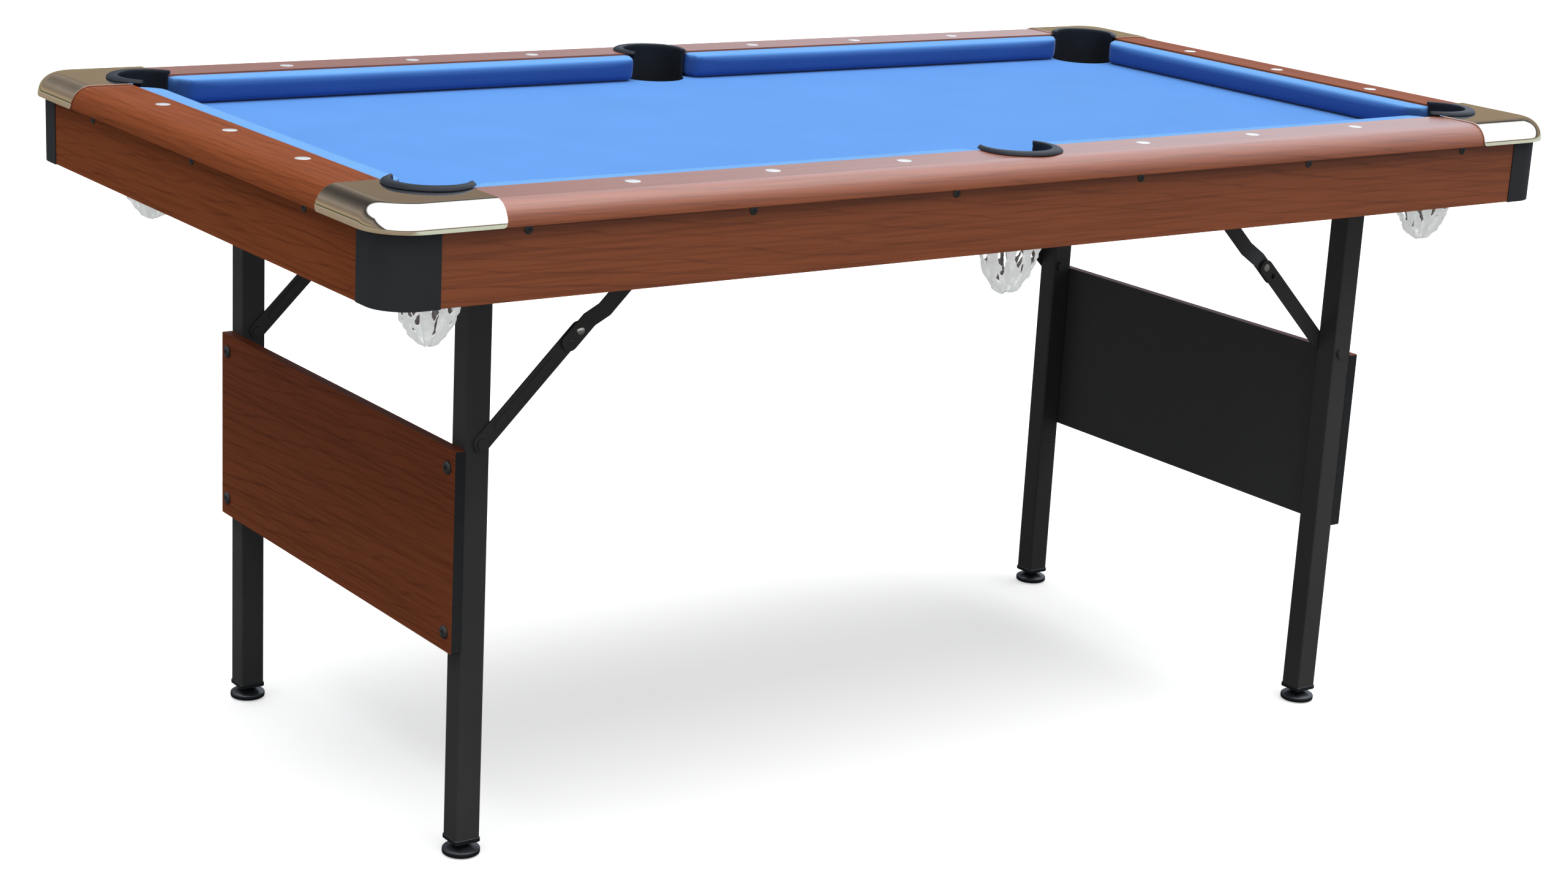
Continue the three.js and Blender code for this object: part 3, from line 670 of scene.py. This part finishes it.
def cap_stations(end_x, end_y):
    """(base, direction, lift of the lip) along the rolled edge, from the long rail round the corner."""
    centre = Vector((RAIL_HALF_X - RAIL_CORNER, RAIL_HALF_Y - RAIL_CORNER, CAP_TOP))
    inner = RAIL_CORNER - RAIL_ROUND
    bend = CAP_END_RADIUS
    lifts = [bend - math.sqrt(bend ** 2 - (bend - along) ** 2) for along in CAP_END_STEPS]
    ends_x, ends_y = [], []
    for along, lift in zip(CAP_END_STEPS, lifts):
        ends_x.append((Vector((end_x + along, centre.y + inner, CAP_TOP)), Vector((0, 1, 0)), lift))
        ends_y.append((Vector((centre.x + inner, end_y + along, CAP_TOP)), Vector((1, 0, 0)), lift))
    corner = []
    for step in range(CAP_CORNER_STEPS + 1):
        angle = math.pi / 2 * (1 - step / CAP_CORNER_STEPS)
        direction = Vector((math.cos(angle), math.sin(angle), 0))
        corner.append((centre + direction * inner, direction, 0.0))
    return ends_x + corner + ends_y[::-1]


def build_corner_caps():
    """Chromed pressing: flat top with a pocket cut-out, rolled over the rail's rounded edge."""
    full_drop = CAP_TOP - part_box("corner_cap_left_front")[0].z
    end_x, end_y = RAIL_HALF_X - CAP_REACH_X, RAIL_HALF_Y - CAP_REACH_Y
    stations = cap_stations(end_x, end_y)
    pocket = Vector((*POCKETS["right_back"][:2], CAP_TOP))
    start = -math.acos((PLAY_HALF_X + CAP_GAP - pocket.x) / POCKET_RADIUS)
    stop = math.pi - math.acos((pocket.x - end_x) / POCKET_RADIUS)
    arc = [start + (stop - start) * i / CAP_POCKET_STEPS for i in range(CAP_POCKET_STEPS + 1)]
    inside = [Vector((PLAY_HALF_X + CAP_GAP, end_y, CAP_TOP))]
    inside += [pocket + Vector((math.cos(a), math.sin(a), 0)) * POCKET_RADIUS for a in arc]
    for corner, (sx, sy) in CORNERS.items():
        flip = Matrix.Diagonal((sx, sy, 1, 1))
        rings = []
        for base, direction, lift in stations:
            section = cap_section(full_drop - lift)
            rings.append([flip @ (base + direction * out + Vector((0, 0, rise))) for out, rise in section])
        bm = bmesh.new()
        rows = loft(bm, rings, closed_ring=False)
        bm.faces.new([row[0] for row in rows] + [bm.verts.new(flip @ point) for point in inside])
        piece = place(bm, f"corner_cap_{corner}_pressing", "cabinet", chrome)
        if piece.data.polygons[-1].normal.z < 0:
            piece.data.flip_normals()
        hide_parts(f"corner_cap_{corner}")
        modify(piece, "thickness", "SOLIDIFY", thickness=CAP_THICKNESS, offset=-1.0)
        soften(piece, 0.45 * MM)


# ---- Pocket liners ----
# Half angle (degrees) that the collar spans from its middle to each tip.
LINER_SPAN = {"corner": 98.0, "side": 114.0}
LINER_INNER, LINER_OUTER, LINER_FLANGE = 39.3 * MM, 42.1 * MM, 53 * MM
LINER_THICKNESS = 4.4 * MM
LINER_STEPS = 96
# Degrees short of the tip where the flange starts to narrow, the wall starts to fade and the end rounds off.
LINER_NARROWS, LINER_WALL_ENDS, LINER_ROUNDS = 62.0, 6.0, 5.0
LINER_WALL_FADE = 3.0
# Shares of the flange's width, of its height and of the whole section that are lost at the tip.
LINER_WIDTH_LOST, LINER_HEIGHT_LOST, LINER_SECTION_LOST = 0.62, 0.15, 0.65
LINER_NARROWING_POWER = 1.3
# Rounding of the crown: steps (mm) in from the side and down from the top.
CROWN_INNER_ROUND = [(0.2, 1.7), (0.9, 0.6), (2.1, 0.1)]
CROWN_OUTER_ROUND = [(3.4, 0.5), (1.5, 1.5), (0.4, 2.9)]


def liner_section(short_of_tip, floor_z, seat):
    """(radius, height) points round the collar's section, some degrees short of the nearer tip."""
    taper = max(0.0, 1 - short_of_tip / LINER_NARROWS)
    rounding = math.sqrt(max(0.0, 1 - max(0.0, 1 - short_of_tip / LINER_ROUNDS) ** 2))
    fade = smooth_step((LINER_WALL_ENDS - short_of_tip) / LINER_WALL_FADE)
    bottom = floor_z + (seat - 1.2 * MM - floor_z) * fade
    crown = seat + LINER_THICKNESS * (1 - LINER_HEIGHT_LOST * taper)
    narrowed = 1 - LINER_WIDTH_LOST * taper ** LINER_NARROWING_POWER
    tip = LINER_OUTER + (LINER_FLANGE - LINER_OUTER) * narrowed
    middle = (LINER_INNER + tip) / 2
    section = [(LINER_INNER, bottom), (LINER_INNER, seat - 0.6 * MM)]
    section += [(LINER_INNER + across * MM, crown - down * MM) for across, down in CROWN_INNER_ROUND]
    section += [(middle, crown)]
    section += [(tip - across * MM, crown - down * MM) for across, down in CROWN_OUTER_ROUND]
    section += [
        (tip, seat + 0.5 * MM), (tip - 0.6 * MM, seat), (LINER_OUTER + 0.3 * MM, seat),
        (LINER_OUTER, seat - 0.4 * MM), (LINER_OUTER, bottom),
    ]
    squeeze = 1 - LINER_SECTION_LOST * (1 - rounding)
    return [(middle + (radius - middle) * squeeze, height) for radius, height in section]


def build_liners():
    """Moulded collar: a curved wall under a broad rounded flange that tapers to two blunt tips."""
    for name, (x, y, outward) in POCKETS.items():
        low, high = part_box(f"pocket_liner_{name}")
        half_angle = LINER_SPAN["side" if name.startswith("side") else "corner"]
        rings = []
        for i in range(LINER_STEPS + 1):
            degrees = half_angle * (2 * i / LINER_STEPS - 1)
            angle = math.radians(degrees) + outward
            direction = Vector((math.cos(angle), math.sin(angle), 0))
            section = liner_section(half_angle - abs(degrees), low.z, high.z - LINER_THICKNESS)
            rings.append([Vector((x, y, height)) + direction * radius for radius, height in section])
        bm = bmesh.new()
        loft(bm, rings)
        piece = place(bm, f"pocket_liner_{name}_collar", "cabinet", pocket_rubber)
        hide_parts(f"pocket_liner_{name}")
        soften(piece, 0.3 * MM)


# ---- Pocket nets ----
# Each basket is drawn by its radius and height (mm) from the liner down to the gathered bottom.
NET_PROFILE = [
    (39.6, 729.6), (38.7, 716.0), (37.6, 702.0), (36.4, 690.0), (35.0, 678.0), (33.2, 666.0), (30.6, 655.5),
    (27.6, 648.0), (24.0, 641.5), (19.8, 635.0), (15.4, 629.5), (11.0, 625.6), (6.8, 623.4), (2.6, 622.6),
]
# Rows of slits: how many, half width, and where they start and end along the wall (mm from the rim).
NET_SLITS = [(13, 4.6, 8, 34), (12, 5.0, 30, 53), (10, 4.6, 49, 73), (9, 2.0, 66, 86), (7, 0.9, 83, 95)]
NET_COLUMNS, NET_ROWS = 168, 72
NET_WALL = 1.7 * MM
NET_LIMIT = 39.8
NET_RIM = 728 * MM
NET_RIM_SMOOTHING = 4
NET_SEED = 41
# Unevenness of the wall (mm): pleats near the bottom, sag, and crumples (depth, waves round, length down).
NET_PLEATS, NET_PLEAT_DEPTH, NET_SAG = 13, 1.6, 5.0
NET_CRUMPLES = [(3.4, 3.4, 11), (1.6, 9.0, 4)]


def net_wall(distance):
    """Radius and height (mm) at a distance along the net's profile from the rim."""
    for (r0, z0), (r1, z1) in zip(NET_PROFILE, NET_PROFILE[1:]):
        length = math.hypot(r1 - r0, z1 - z0)
        if distance <= length:
            share = distance / length
            return r0 + (r1 - r0) * share, z0 + (z1 - z0) * share
        distance -= length
    return NET_PROFILE[-1]


def draw_slits(draw):
    """Slits as (angle, start, end, half width, lean), staggered row by row and a little uneven."""
    slits = []
    for row, (count, half, start, end) in enumerate(NET_SLITS):
        for k in range(count):
            angle = 2 * math.pi * (k + row / 2) / count + draw.uniform(-0.07, 0.07)
            slits.append((
                angle, start + draw.uniform(-3, 3), end + draw.uniform(-3, 3), half * draw.uniform(0.6, 1.2),
                draw.uniform(-0.16, 0.16),
            ))
    return slits


def in_slit(angle, distance, radius, slits):
    """Whether a place on the wall lies in one of the lens-shaped slits."""
    for centre, start, end, half, lean in slits:
        if not start < distance < end:
            continue
        share = (distance - start) / (end - start)
        middle = centre + lean * (share - 0.5)
        away = abs((angle - middle + math.pi) % (2 * math.pi) - math.pi) * radius
        if away < half * math.sin(math.pi * share ** 1.2) ** 0.8:
            return True
    return False


def net_point(x, y, angle, distance, share, offset):
    """A point on the crumpled wall of the net; share runs from 0 at the rim to 1 at the bottom."""
    radius, height = net_wall(distance)
    around = Vector((math.cos(angle), math.sin(angle), 0))
    uneven = NET_PLEAT_DEPTH * math.sin(NET_PLEATS * angle + 5 * noise.noise(around + offset)) * share
    for depth, waves, length in NET_CRUMPLES:
        uneven += depth * noise.noise(around * waves + Vector((0, 0, distance / length)) + offset)
    fade = min(1.0, distance / 16) * min(1.0, radius / 14)
    radius = min(radius + uneven * fade, NET_LIMIT)
    sag = NET_SAG * noise.noise(around * 1.9 + Vector((0, 0, 7)) + offset) * share
    return Vector((x, y, (height + sag) * MM)) + around * radius * MM


def build_nets():
    """Moulded plastic basket: leaning slits between ribs, gathered to a closed, puckered bottom."""
    total = sum(math.dist(a, b) for a, b in zip(NET_PROFILE, NET_PROFILE[1:]))
    for index, (name, (x, y, _)) in enumerate(POCKETS.items()):
        slits = draw_slits(random.Random(NET_SEED + index))
        offset = Vector((index * 3.1, 0, 0))
        bm = bmesh.new()
        grid = []
        for j in range(NET_ROWS + 1):
            share = j / NET_ROWS
            angles = [2 * math.pi * i / NET_COLUMNS for i in range(NET_COLUMNS)]
            ring = [net_point(x, y, angle, total * share, share, offset) for angle in angles]
            grid.append([bm.verts.new(point) for point in ring])
        for j in range(NET_ROWS):
            distance = total * (j + 0.5) / NET_ROWS
            radius, _ = net_wall(distance)
            for i in range(NET_COLUMNS):
                k = (i + 1) % NET_COLUMNS
                if not in_slit(2 * math.pi * (i + 0.5) / NET_COLUMNS, distance, radius, slits):
                    bm.faces.new((grid[j][i], grid[j][k], grid[j + 1][k], grid[j + 1][i]))
        bm.faces.new(grid[-1][::-1])
        bmesh.ops.delete(bm, geom=[vert for vert in bm.verts if not vert.link_faces], context="VERTS")
        rims = [vert for vert in bm.verts if vert.is_boundary and vert.co.z < NET_RIM]
        every_axis = dict(use_axis_x=True, use_axis_y=True, use_axis_z=True)
        for _ in range(NET_RIM_SMOOTHING):
            bmesh.ops.smooth_vert(bm, verts=rims, factor=0.5, **every_axis)
        piece = place(bm, f"pocket_net_{name}_basket", "cabinet", net_white)
        # The inner wall takes the darker copy as painted shade.
        piece.data.materials.append(net_inside_painted_shade)
        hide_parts(f"pocket_net_{name}")
        modify(piece, "thickness", "SOLIDIFY", thickness=NET_WALL, offset=-1.0, material_offset=1)
        soften(piece)


# ---- Small parts ----
SIGHT_PITCH = 175 * MM
SIGHT_ROW_X, SIGHT_ROW_Y = 785.3 * MM, 397.5 * MM
SIGHT_LIFT = 0.02 * MM
# Apron screws: drop below the rail, and spacing; on the long aprons they sit at odd multiples of half of it.
APRON_SCREW_DROP = 5.4 * MM
APRON_SCREW_HALF_GAP_X, APRON_SCREW_GAP_Y = 134.6 * MM, 268.5 * MM
PANEL_BOLT_INSET = 22 * MM
# Plain domed heads: radius, height and the share of the height with upright sides.
SIGHT = (8.4 * MM, 0.7 * MM, 0.2)
ELBOW_RIVET = (5.2 * MM, 2.6 * MM, 0.15)
ELBOW_TAIL = (4.6 * MM, 0.25 * MM, 0.5)
PIVOT_WASHER = (9.6 * MM, 0.9 * MM, 0.7)
# Heads with a driver recess: radius, height and radius of the recess.
APRON_SCREW = (4.9 * MM, 1.6 * MM, 1.9 * MM)
PANEL_BOLT = (7.6 * MM, 3.6 * MM, 2.4 * MM)
LOCK_STUD = (3.6 * MM, 0.9 * MM, 1.9 * MM)
DOME_STEPS = 7
FINE_STEPS, COARSE_STEPS = 40, 32
# How far from the leg's face the heads of the brace stand.
UPPER_ARM_FACE, LOWER_ARM_BACK, LOWER_ARM_FACE = 6.82 * MM, 0.3 * MM, 2.86 * MM


def dome(radius, height, skirt=0.4):
    """Profile of a shallow domed head on z = 0; skirt is the share of its height with upright sides."""
    points = [(0, 0), (radius * 0.98, 0), (radius, 0.06 * height + 0.01 * MM), (radius, skirt * height)]
    for i in range(1, DOME_STEPS):
        angle = math.pi / 2 * i / DOME_STEPS
        points.append((radius * math.cos(angle), skirt * height + (1 - skirt) * height * math.sin(angle)))
    return points + [(0, height)]


def with_socket(radius, height, socket):
    """Profile of a domed head with a round driver recess."""
    head = [point for point in dome(radius, height)[:-1] if point[0] > socket or point[1] < 0.3 * height]
    rim = [(socket, height * 0.97), (socket * 0.92, height * 0.9)]
    floor = [(socket * 0.85, height * 0.35), (0, height * 0.3)]
    return head + rim + floor


def build_sights():
    """Rail sights: eighteen pearly discs let into the rail tops."""
    spots = [(k * SIGHT_PITCH, sy * SIGHT_ROW_Y) for sy in (-1, 1) for k in (-3, -2, -1, 1, 2, 3)]
    spots += [(sx * SIGHT_ROW_X, k * SIGHT_PITCH) for sx in (-1, 1) for k in (-1, 0, 1)]
    for number, (x, y) in enumerate(spots):
        disc = turned(dome(*SIGHT))
        moved(disc, Matrix.Translation((x, y, RAIL_TOP + SIGHT_LIFT)))
        soften(place(disc, f"sight_{number:02d}", "cabinet", pearl_white))


def build_apron_screws():
    """Black screws in a row just under the rail."""
    height = RAIL_BOTTOM - APRON_SCREW_DROP
    spots = [
        ((k * APRON_SCREW_HALF_GAP_X, sy * APRON_HALF_Y, height), (0, sy, 0))
        for sy in (-1, 1) for k in (-5, -3, -1, 1, 3, 5)
    ]
    spots += [
        ((sx * APRON_HALF_X, k * APRON_SCREW_GAP_Y, height), (sx, 0, 0))
        for sx in (-1, 1) for k in (-1, 0, 1)
    ]
    for number, (position, axis) in enumerate(spots):
        screw = moved(turned(with_socket(*APRON_SCREW), COARSE_STEPS), facing(position, axis))
        soften(place(screw, f"apron_screw_{number:02d}", "cabinet", steel))


def build_leg_hardware():
    """Panel bolts, brace washers, elbow rivets, feet and the plastic ends of the legs."""
    for end in ENDS:
        for row in ROWS:
            foot_low, foot_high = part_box(f"foot_{end}_{row}")
            leg_x = (foot_low.x + foot_high.x) / 2
            leg_y = (foot_low.y + foot_high.y) / 2
            build_panel_bolts(end, row, leg_y)
            build_leg_end(end, row, leg_x, leg_y)
            build_brace_hardware(end, row, leg_y)
            build_foot(end, row, leg_x, leg_y)


def build_panel_bolts(end, row, leg_y):
    """Two bolts through the end panel into a leg."""
    low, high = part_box(f"end_panel_{end}")
    face_x = low.x if end == "left" else high.x
    for level, z in (("low", low.z + PANEL_BOLT_INSET), ("high", high.z - PANEL_BOLT_INSET)):
        turn = facing((face_x, leg_y, z), (-TURN[end], 0, 0))
        bolt = moved(turned(with_socket(*PANEL_BOLT), FINE_STEPS), turn)
        soften(place(bolt, f"panel_bolt_{end}_{row}_{level}", f"leg_frame_{end}", steel))


# Outside of a leg end: half width, corner radius and height (mm) of each ring, from the top down.
LEG_END_RINGS = [(15.6, 2.4, 20.9), (16.0, 2.6, 20.4), (16.0, 2.6, 16.2), (15.2, 2.2, 15.4)]
LEG_END_HOLE = 8.8 * MM
LEG_END_CORNER_STEPS = 6


def rounded_square(half, radius):
    """Outline of a square with rounded corners."""
    points = []
    for quadrant, (sx, sy) in enumerate(((1, 1), (-1, 1), (-1, -1), (1, -1))):
        for step in range(LEG_END_CORNER_STEPS + 1):
            angle = math.pi / 2 * (quadrant + step / LEG_END_CORNER_STEPS)
            x = sx * (half - radius) + radius * math.cos(angle)
            y = sy * (half - radius) + radius * math.sin(angle)
            points.append((x, y))
    return points


def build_leg_end(end, row, leg_x, leg_y):
    """Plastic plug: a collar a little wider than the tube, with a hole for the foot."""
    rings = [
        [Vector((leg_x + x, leg_y + y, height * MM)) for x, y in rounded_square(half * MM, radius * MM)]
        for half, radius, height in LEG_END_RINGS
    ]
    count = len(rings[0])
    angles = [2 * math.pi * (i + 0.5) / count for i in range(count)]
    hole = [(leg_x + LEG_END_HOLE * math.cos(a), leg_y + LEG_END_HOLE * math.sin(a)) for a in angles]
    for height in (LEG_END_RINGS[-1][2], LEG_END_RINGS[0][2]):
        rings.append([Vector((x, y, height * MM)) for x, y in hole])
    plug = bmesh.new()
    loft(plug, rings, closed_path=True)
    soften(place(plug, f"leg_end_{end}_{row}", f"leg_frame_{end}", foot_plastic))


# Foot: (radius, height) of the pad and its neck in mm, then a threaded stem.
FOOT_PAD = [
    (0, 0), (17.5, 0), (19.8, 0.3), (21.1, 1.2), (21.5, 2.6), (21.5, 5.2), (21.2, 6.4), (20.2, 7.4),
    (17.5, 8.7), (13.5, 10.0), (10.2, 11.0), (8.6, 11.6), (8.0, 12.3), (8.0, 14.1), (7.6, 14.5), (5.4, 14.5),
    (5.0, 15.2),
]
THREAD_ROOT, THREAD_CREST, THREAD_PITCH, THREAD_START, THREAD_TURNS = 4.75, 5.0, 1.6, 16.0, 9
STEM_TIP_RADIUS, STEM_TOP = 4.4, 31.0


def build_foot(end, row, leg_x, leg_y):
    """Levelling foot: a round moulded pad on a threaded stem."""
    thread = [
        (THREAD_ROOT if k % 2 else THREAD_CREST, THREAD_START + k * THREAD_PITCH / 2)
        for k in range(2 * THREAD_TURNS)
    ]
    profile = FOOT_PAD + thread + [(STEM_TIP_RADIUS, STEM_TOP), (0, STEM_TOP)]
    foot = turned([(radius * MM, height * MM) for radius, height in profile])
    moved(foot, Matrix.Translation((leg_x, leg_y, 0)))
    piece = place(foot, f"foot_{end}_{row}_leveller", f"foot_{end}_{row}", foot_plastic)
    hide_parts(f"foot_{end}_{row}")
    soften(piece)


def build_brace_hardware(end, row, leg_y):
    """Elbow rivet and its tail, lock stud, and the washer where the brace is bolted to the leg."""
    sign = TURN[end]
    face = leg_y - sign * LEG_HALF
    outward, inward = (0, -sign, 0), (0, sign, 0)
    leg_frame = f"leg_frame_{end}"
    lower_arm, upper_arm = (f"brace_{arm}_{end}_{row}" for arm in ("lower", "upper"))
    rivet, tail = turned(dome(*ELBOW_RIVET), COARSE_STEPS), turned(dome(*ELBOW_TAIL), COARSE_STEPS)
    washer, stud = turned(dome(*PIVOT_WASHER), FINE_STEPS), turned(with_socket(*LOCK_STUD), COARSE_STEPS)
    pieces = [
        ("elbow_rivet", rivet, ELBOW, UPPER_ARM_FACE, outward, upper_arm, zinc_metal),
        ("elbow_tail", tail, ELBOW, LOWER_ARM_BACK, inward, lower_arm, zinc_metal),
        ("pivot_washer", washer, LEG_BOLT, LOWER_ARM_FACE, outward, leg_frame, steel),
        ("lock_stud", stud, LOCK, UPPER_ARM_FACE, outward, upper_arm, steel),
    ]
    for label, head, point, depth, axis, body, material in pieces:
        position = (sign * point.x, face - sign * depth, point.z)
        moved(head, facing(position, axis))
        soften(place(head, f"{label}_{end}_{row}", body, material))


# ---- Stage, light and camera ----
FLOOR_HALF, FLOOR_DEPTH = 30.0, -1 * MM
FLOOR_GLOW = 0.5
# What mirrors see of the floor: brown on the left, blending to green-grey over this stretch of X.
MIRRORED_FLOOR = ((0.26, 0.195, 0.125), (0.50, 0.52, 0.40))
MIRRORED_BLEND = (-1.5, 0.0)


def build_stage():
    """Pale floor; it throws less light back than it shows, so the table's sides keep their depth."""
    signs = ((-1, -1), (1, -1), (1, 1), (-1, 1))
    corners = [(sx * FLOOR_HALF, sy * FLOOR_HALF, FLOOR_DEPTH) for sx, sy in signs]
    mesh = bpy.data.meshes.new("floor")
    mesh.from_pydata(corners, [], [range(4)])
    floor = bpy.data.objects.new("floor", mesh)
    bpy.context.scene.collection.objects.link(floor)
    finish = Finish("floor_pale")
    ray = finish.add("ShaderNodeLightPath").outputs
    bounced = finish.blend(ray["Is Glossy Ray"], grey(0.16), grey(0.07))
    share = finish.mapped(finish.axes(finish.place)["X"], 0.0, 1.0, *MIRRORED_BLEND)
    mirrored = finish.blend(ray["Is Singular Ray"], bounced, finish.blend(share, *MIRRORED_FLOOR))
    glow = finish.maths("MULTIPLY", ray["Is Camera Ray"], FLOOR_GLOW)
    finish.set(Base_Color=finish.blend(ray["Is Camera Ray"], mirrored, grey(0.98)), Roughness=0.9)
    finish.set(Specular_IOR_Level=0.1, Emission_Strength=glow)
    mesh.materials.append(finish.material)


SUN_STRENGTH, SUN_SPREAD = 3.0, math.radians(76)
SUN_TILT = (math.radians(9), math.radians(3), 0)
SOFT_SKY, SOFT_STRENGTH = (0.93, 0.96, 1.0, 1.0), 0.33
# Skies seen by each kind of ray, from the ground (0) over the horizon (0.5) to straight up (1).
BACKDROP = [(0.0, grey(0.98)), (1.0, grey(0.98))]
SATIN_SKY = [
    (0.0, grey(0.10)), (0.5, (0.20, 0.22, 0.25)), (0.56, (0.66, 0.74, 0.86)), (0.64, (0.80, 0.90, 1.04)),
    (0.78, (1.45, 1.60, 1.84)), (1.0, (1.45, 1.57, 1.80)),
]
MIRROR_SKY = [
    (0.0, grey(0.5)), (0.5, (0.45, 0.40, 0.28)), (0.508, (0.03, 0.035, 0.02)), (0.545, (0.42, 0.33, 0.20)),
    (0.60, (0.24, 0.18, 0.13)), (0.66, (0.30, 0.245, 0.19)), (0.72, (0.13, 0.11, 0.09)),
    (0.76, (0.03, 0.028, 0.026)), (0.79, grey(1.2)), (1.0, grey(1.5)),
]


def build_sun():
    """One broad overhead light."""
    sun = bpy.data.lights.new("overhead", "SUN")
    sun.energy = SUN_STRENGTH
    sun.angle = SUN_SPREAD
    lamp = bpy.data.objects.new("overhead", sun)
    lamp.rotation_euler = SUN_TILT
    bpy.context.scene.collection.objects.link(lamp)


def build_sky():
    """A soft sky for light, and what the camera, satin surfaces and mirrors see of their surroundings."""
    world = bpy.data.worlds.new("studio")
    world.use_nodes = True
    world.node_tree.nodes.clear()
    bpy.context.scene.world = world
    nodes = Nodes(world.node_tree)

    def background(colour, strength=1.0):
        return nodes.add("ShaderNodeBackground", {"Color": colour, "Strength": strength}).outputs[0]

    direction = nodes.axes(nodes.add("ShaderNodeTexCoord").outputs["Generated"])
    height = nodes.mapped(direction["Z"], 0.0, 1.0, -1.0, 1.0)
    # Satin surfaces see less light straight behind the table than to its sides.
    straight_back = nodes.maths("SUBTRACT", direction["Y"], nodes.maths("ABSOLUTE", direction["X"]))
    satin_strength = nodes.mapped(straight_back, 1.1, 0.36, 0.05, 0.42)
    # Mirrors see the bright upper sky reach lower in front of the table, and dim again at the zenith.
    open_front = nodes.mapped(direction["Y"], 0.26, 0.0, -0.45, 0.25)
    above_ground = nodes.mapped(direction["Z"], 0.0, 1.0, 0.03, 0.06)
    mirror_height = nodes.maths("ADD", height, nodes.maths("MULTIPLY", open_front, above_ground))
    mirror_strength = nodes.mapped(direction["Z"], 1.0, 0.5, 0.88, 1.0)

    ray = nodes.add("ShaderNodeLightPath").outputs
    layers = background(SOFT_SKY, SOFT_STRENGTH)
    for test, sky in (
        ("Is Camera Ray", background(nodes.ramp(height, BACKDROP))),
        ("Is Glossy Ray", background(nodes.ramp(height, SATIN_SKY), satin_strength)),
        ("Is Singular Ray", background(nodes.ramp(mirror_height, MIRROR_SKY), mirror_strength)),
    ):
        layers = nodes.add("ShaderNodeMixShader", {"Fac": ray[test], 1: layers, 2: sky}).outputs[0]
    nodes.add("ShaderNodeOutputWorld", {"Surface": layers})


CAMERA_PLACE = Vector((-2.0991, -2.8320, 1.3324))
# Radians: turn from +Y towards +X, tilt down, and roll to the left.
CAMERA_AZIMUTH, CAMERA_PITCH, CAMERA_ROLL = 0.6322, 0.2747, 0.0548
CAMERA_LENS, CAMERA_SENSOR = 66.07, 36.0


def build_camera():
    """Viewpoint of the reference view: left of the front, above the rails, rolled by three degrees."""
    level = Vector((math.sin(CAMERA_AZIMUTH), math.cos(CAMERA_AZIMUTH), 0))
    forward = level * math.cos(CAMERA_PITCH) - Vector((0, 0, math.sin(CAMERA_PITCH)))
    right = Vector((level.y, -level.x, 0))
    up = right.cross(forward)
    rolled_right = right * math.cos(CAMERA_ROLL) + up * math.sin(CAMERA_ROLL)
    rolled_up = up * math.cos(CAMERA_ROLL) - right * math.sin(CAMERA_ROLL)
    data = bpy.data.cameras.new("camera")
    data.lens = CAMERA_LENS
    data.sensor_width = CAMERA_SENSOR
    camera = bpy.data.objects.new("camera", data)
    rotation = Matrix((rolled_right, rolled_up, -forward)).transposed().to_4x4()
    camera.matrix_world = Matrix.Translation(CAMERA_PLACE) @ rotation
    bpy.context.scene.collection.objects.link(camera)
    bpy.context.scene.camera = camera


dress_frame()
build_bed_cloth()
build_cushions()
build_corner_caps()
build_liners()
build_nets()
build_sights()
build_apron_screws()
build_leg_hardware()
build_stage()
build_sun()
build_sky()
build_camera()
bpy.context.scene.view_settings.view_transform = "Standard"
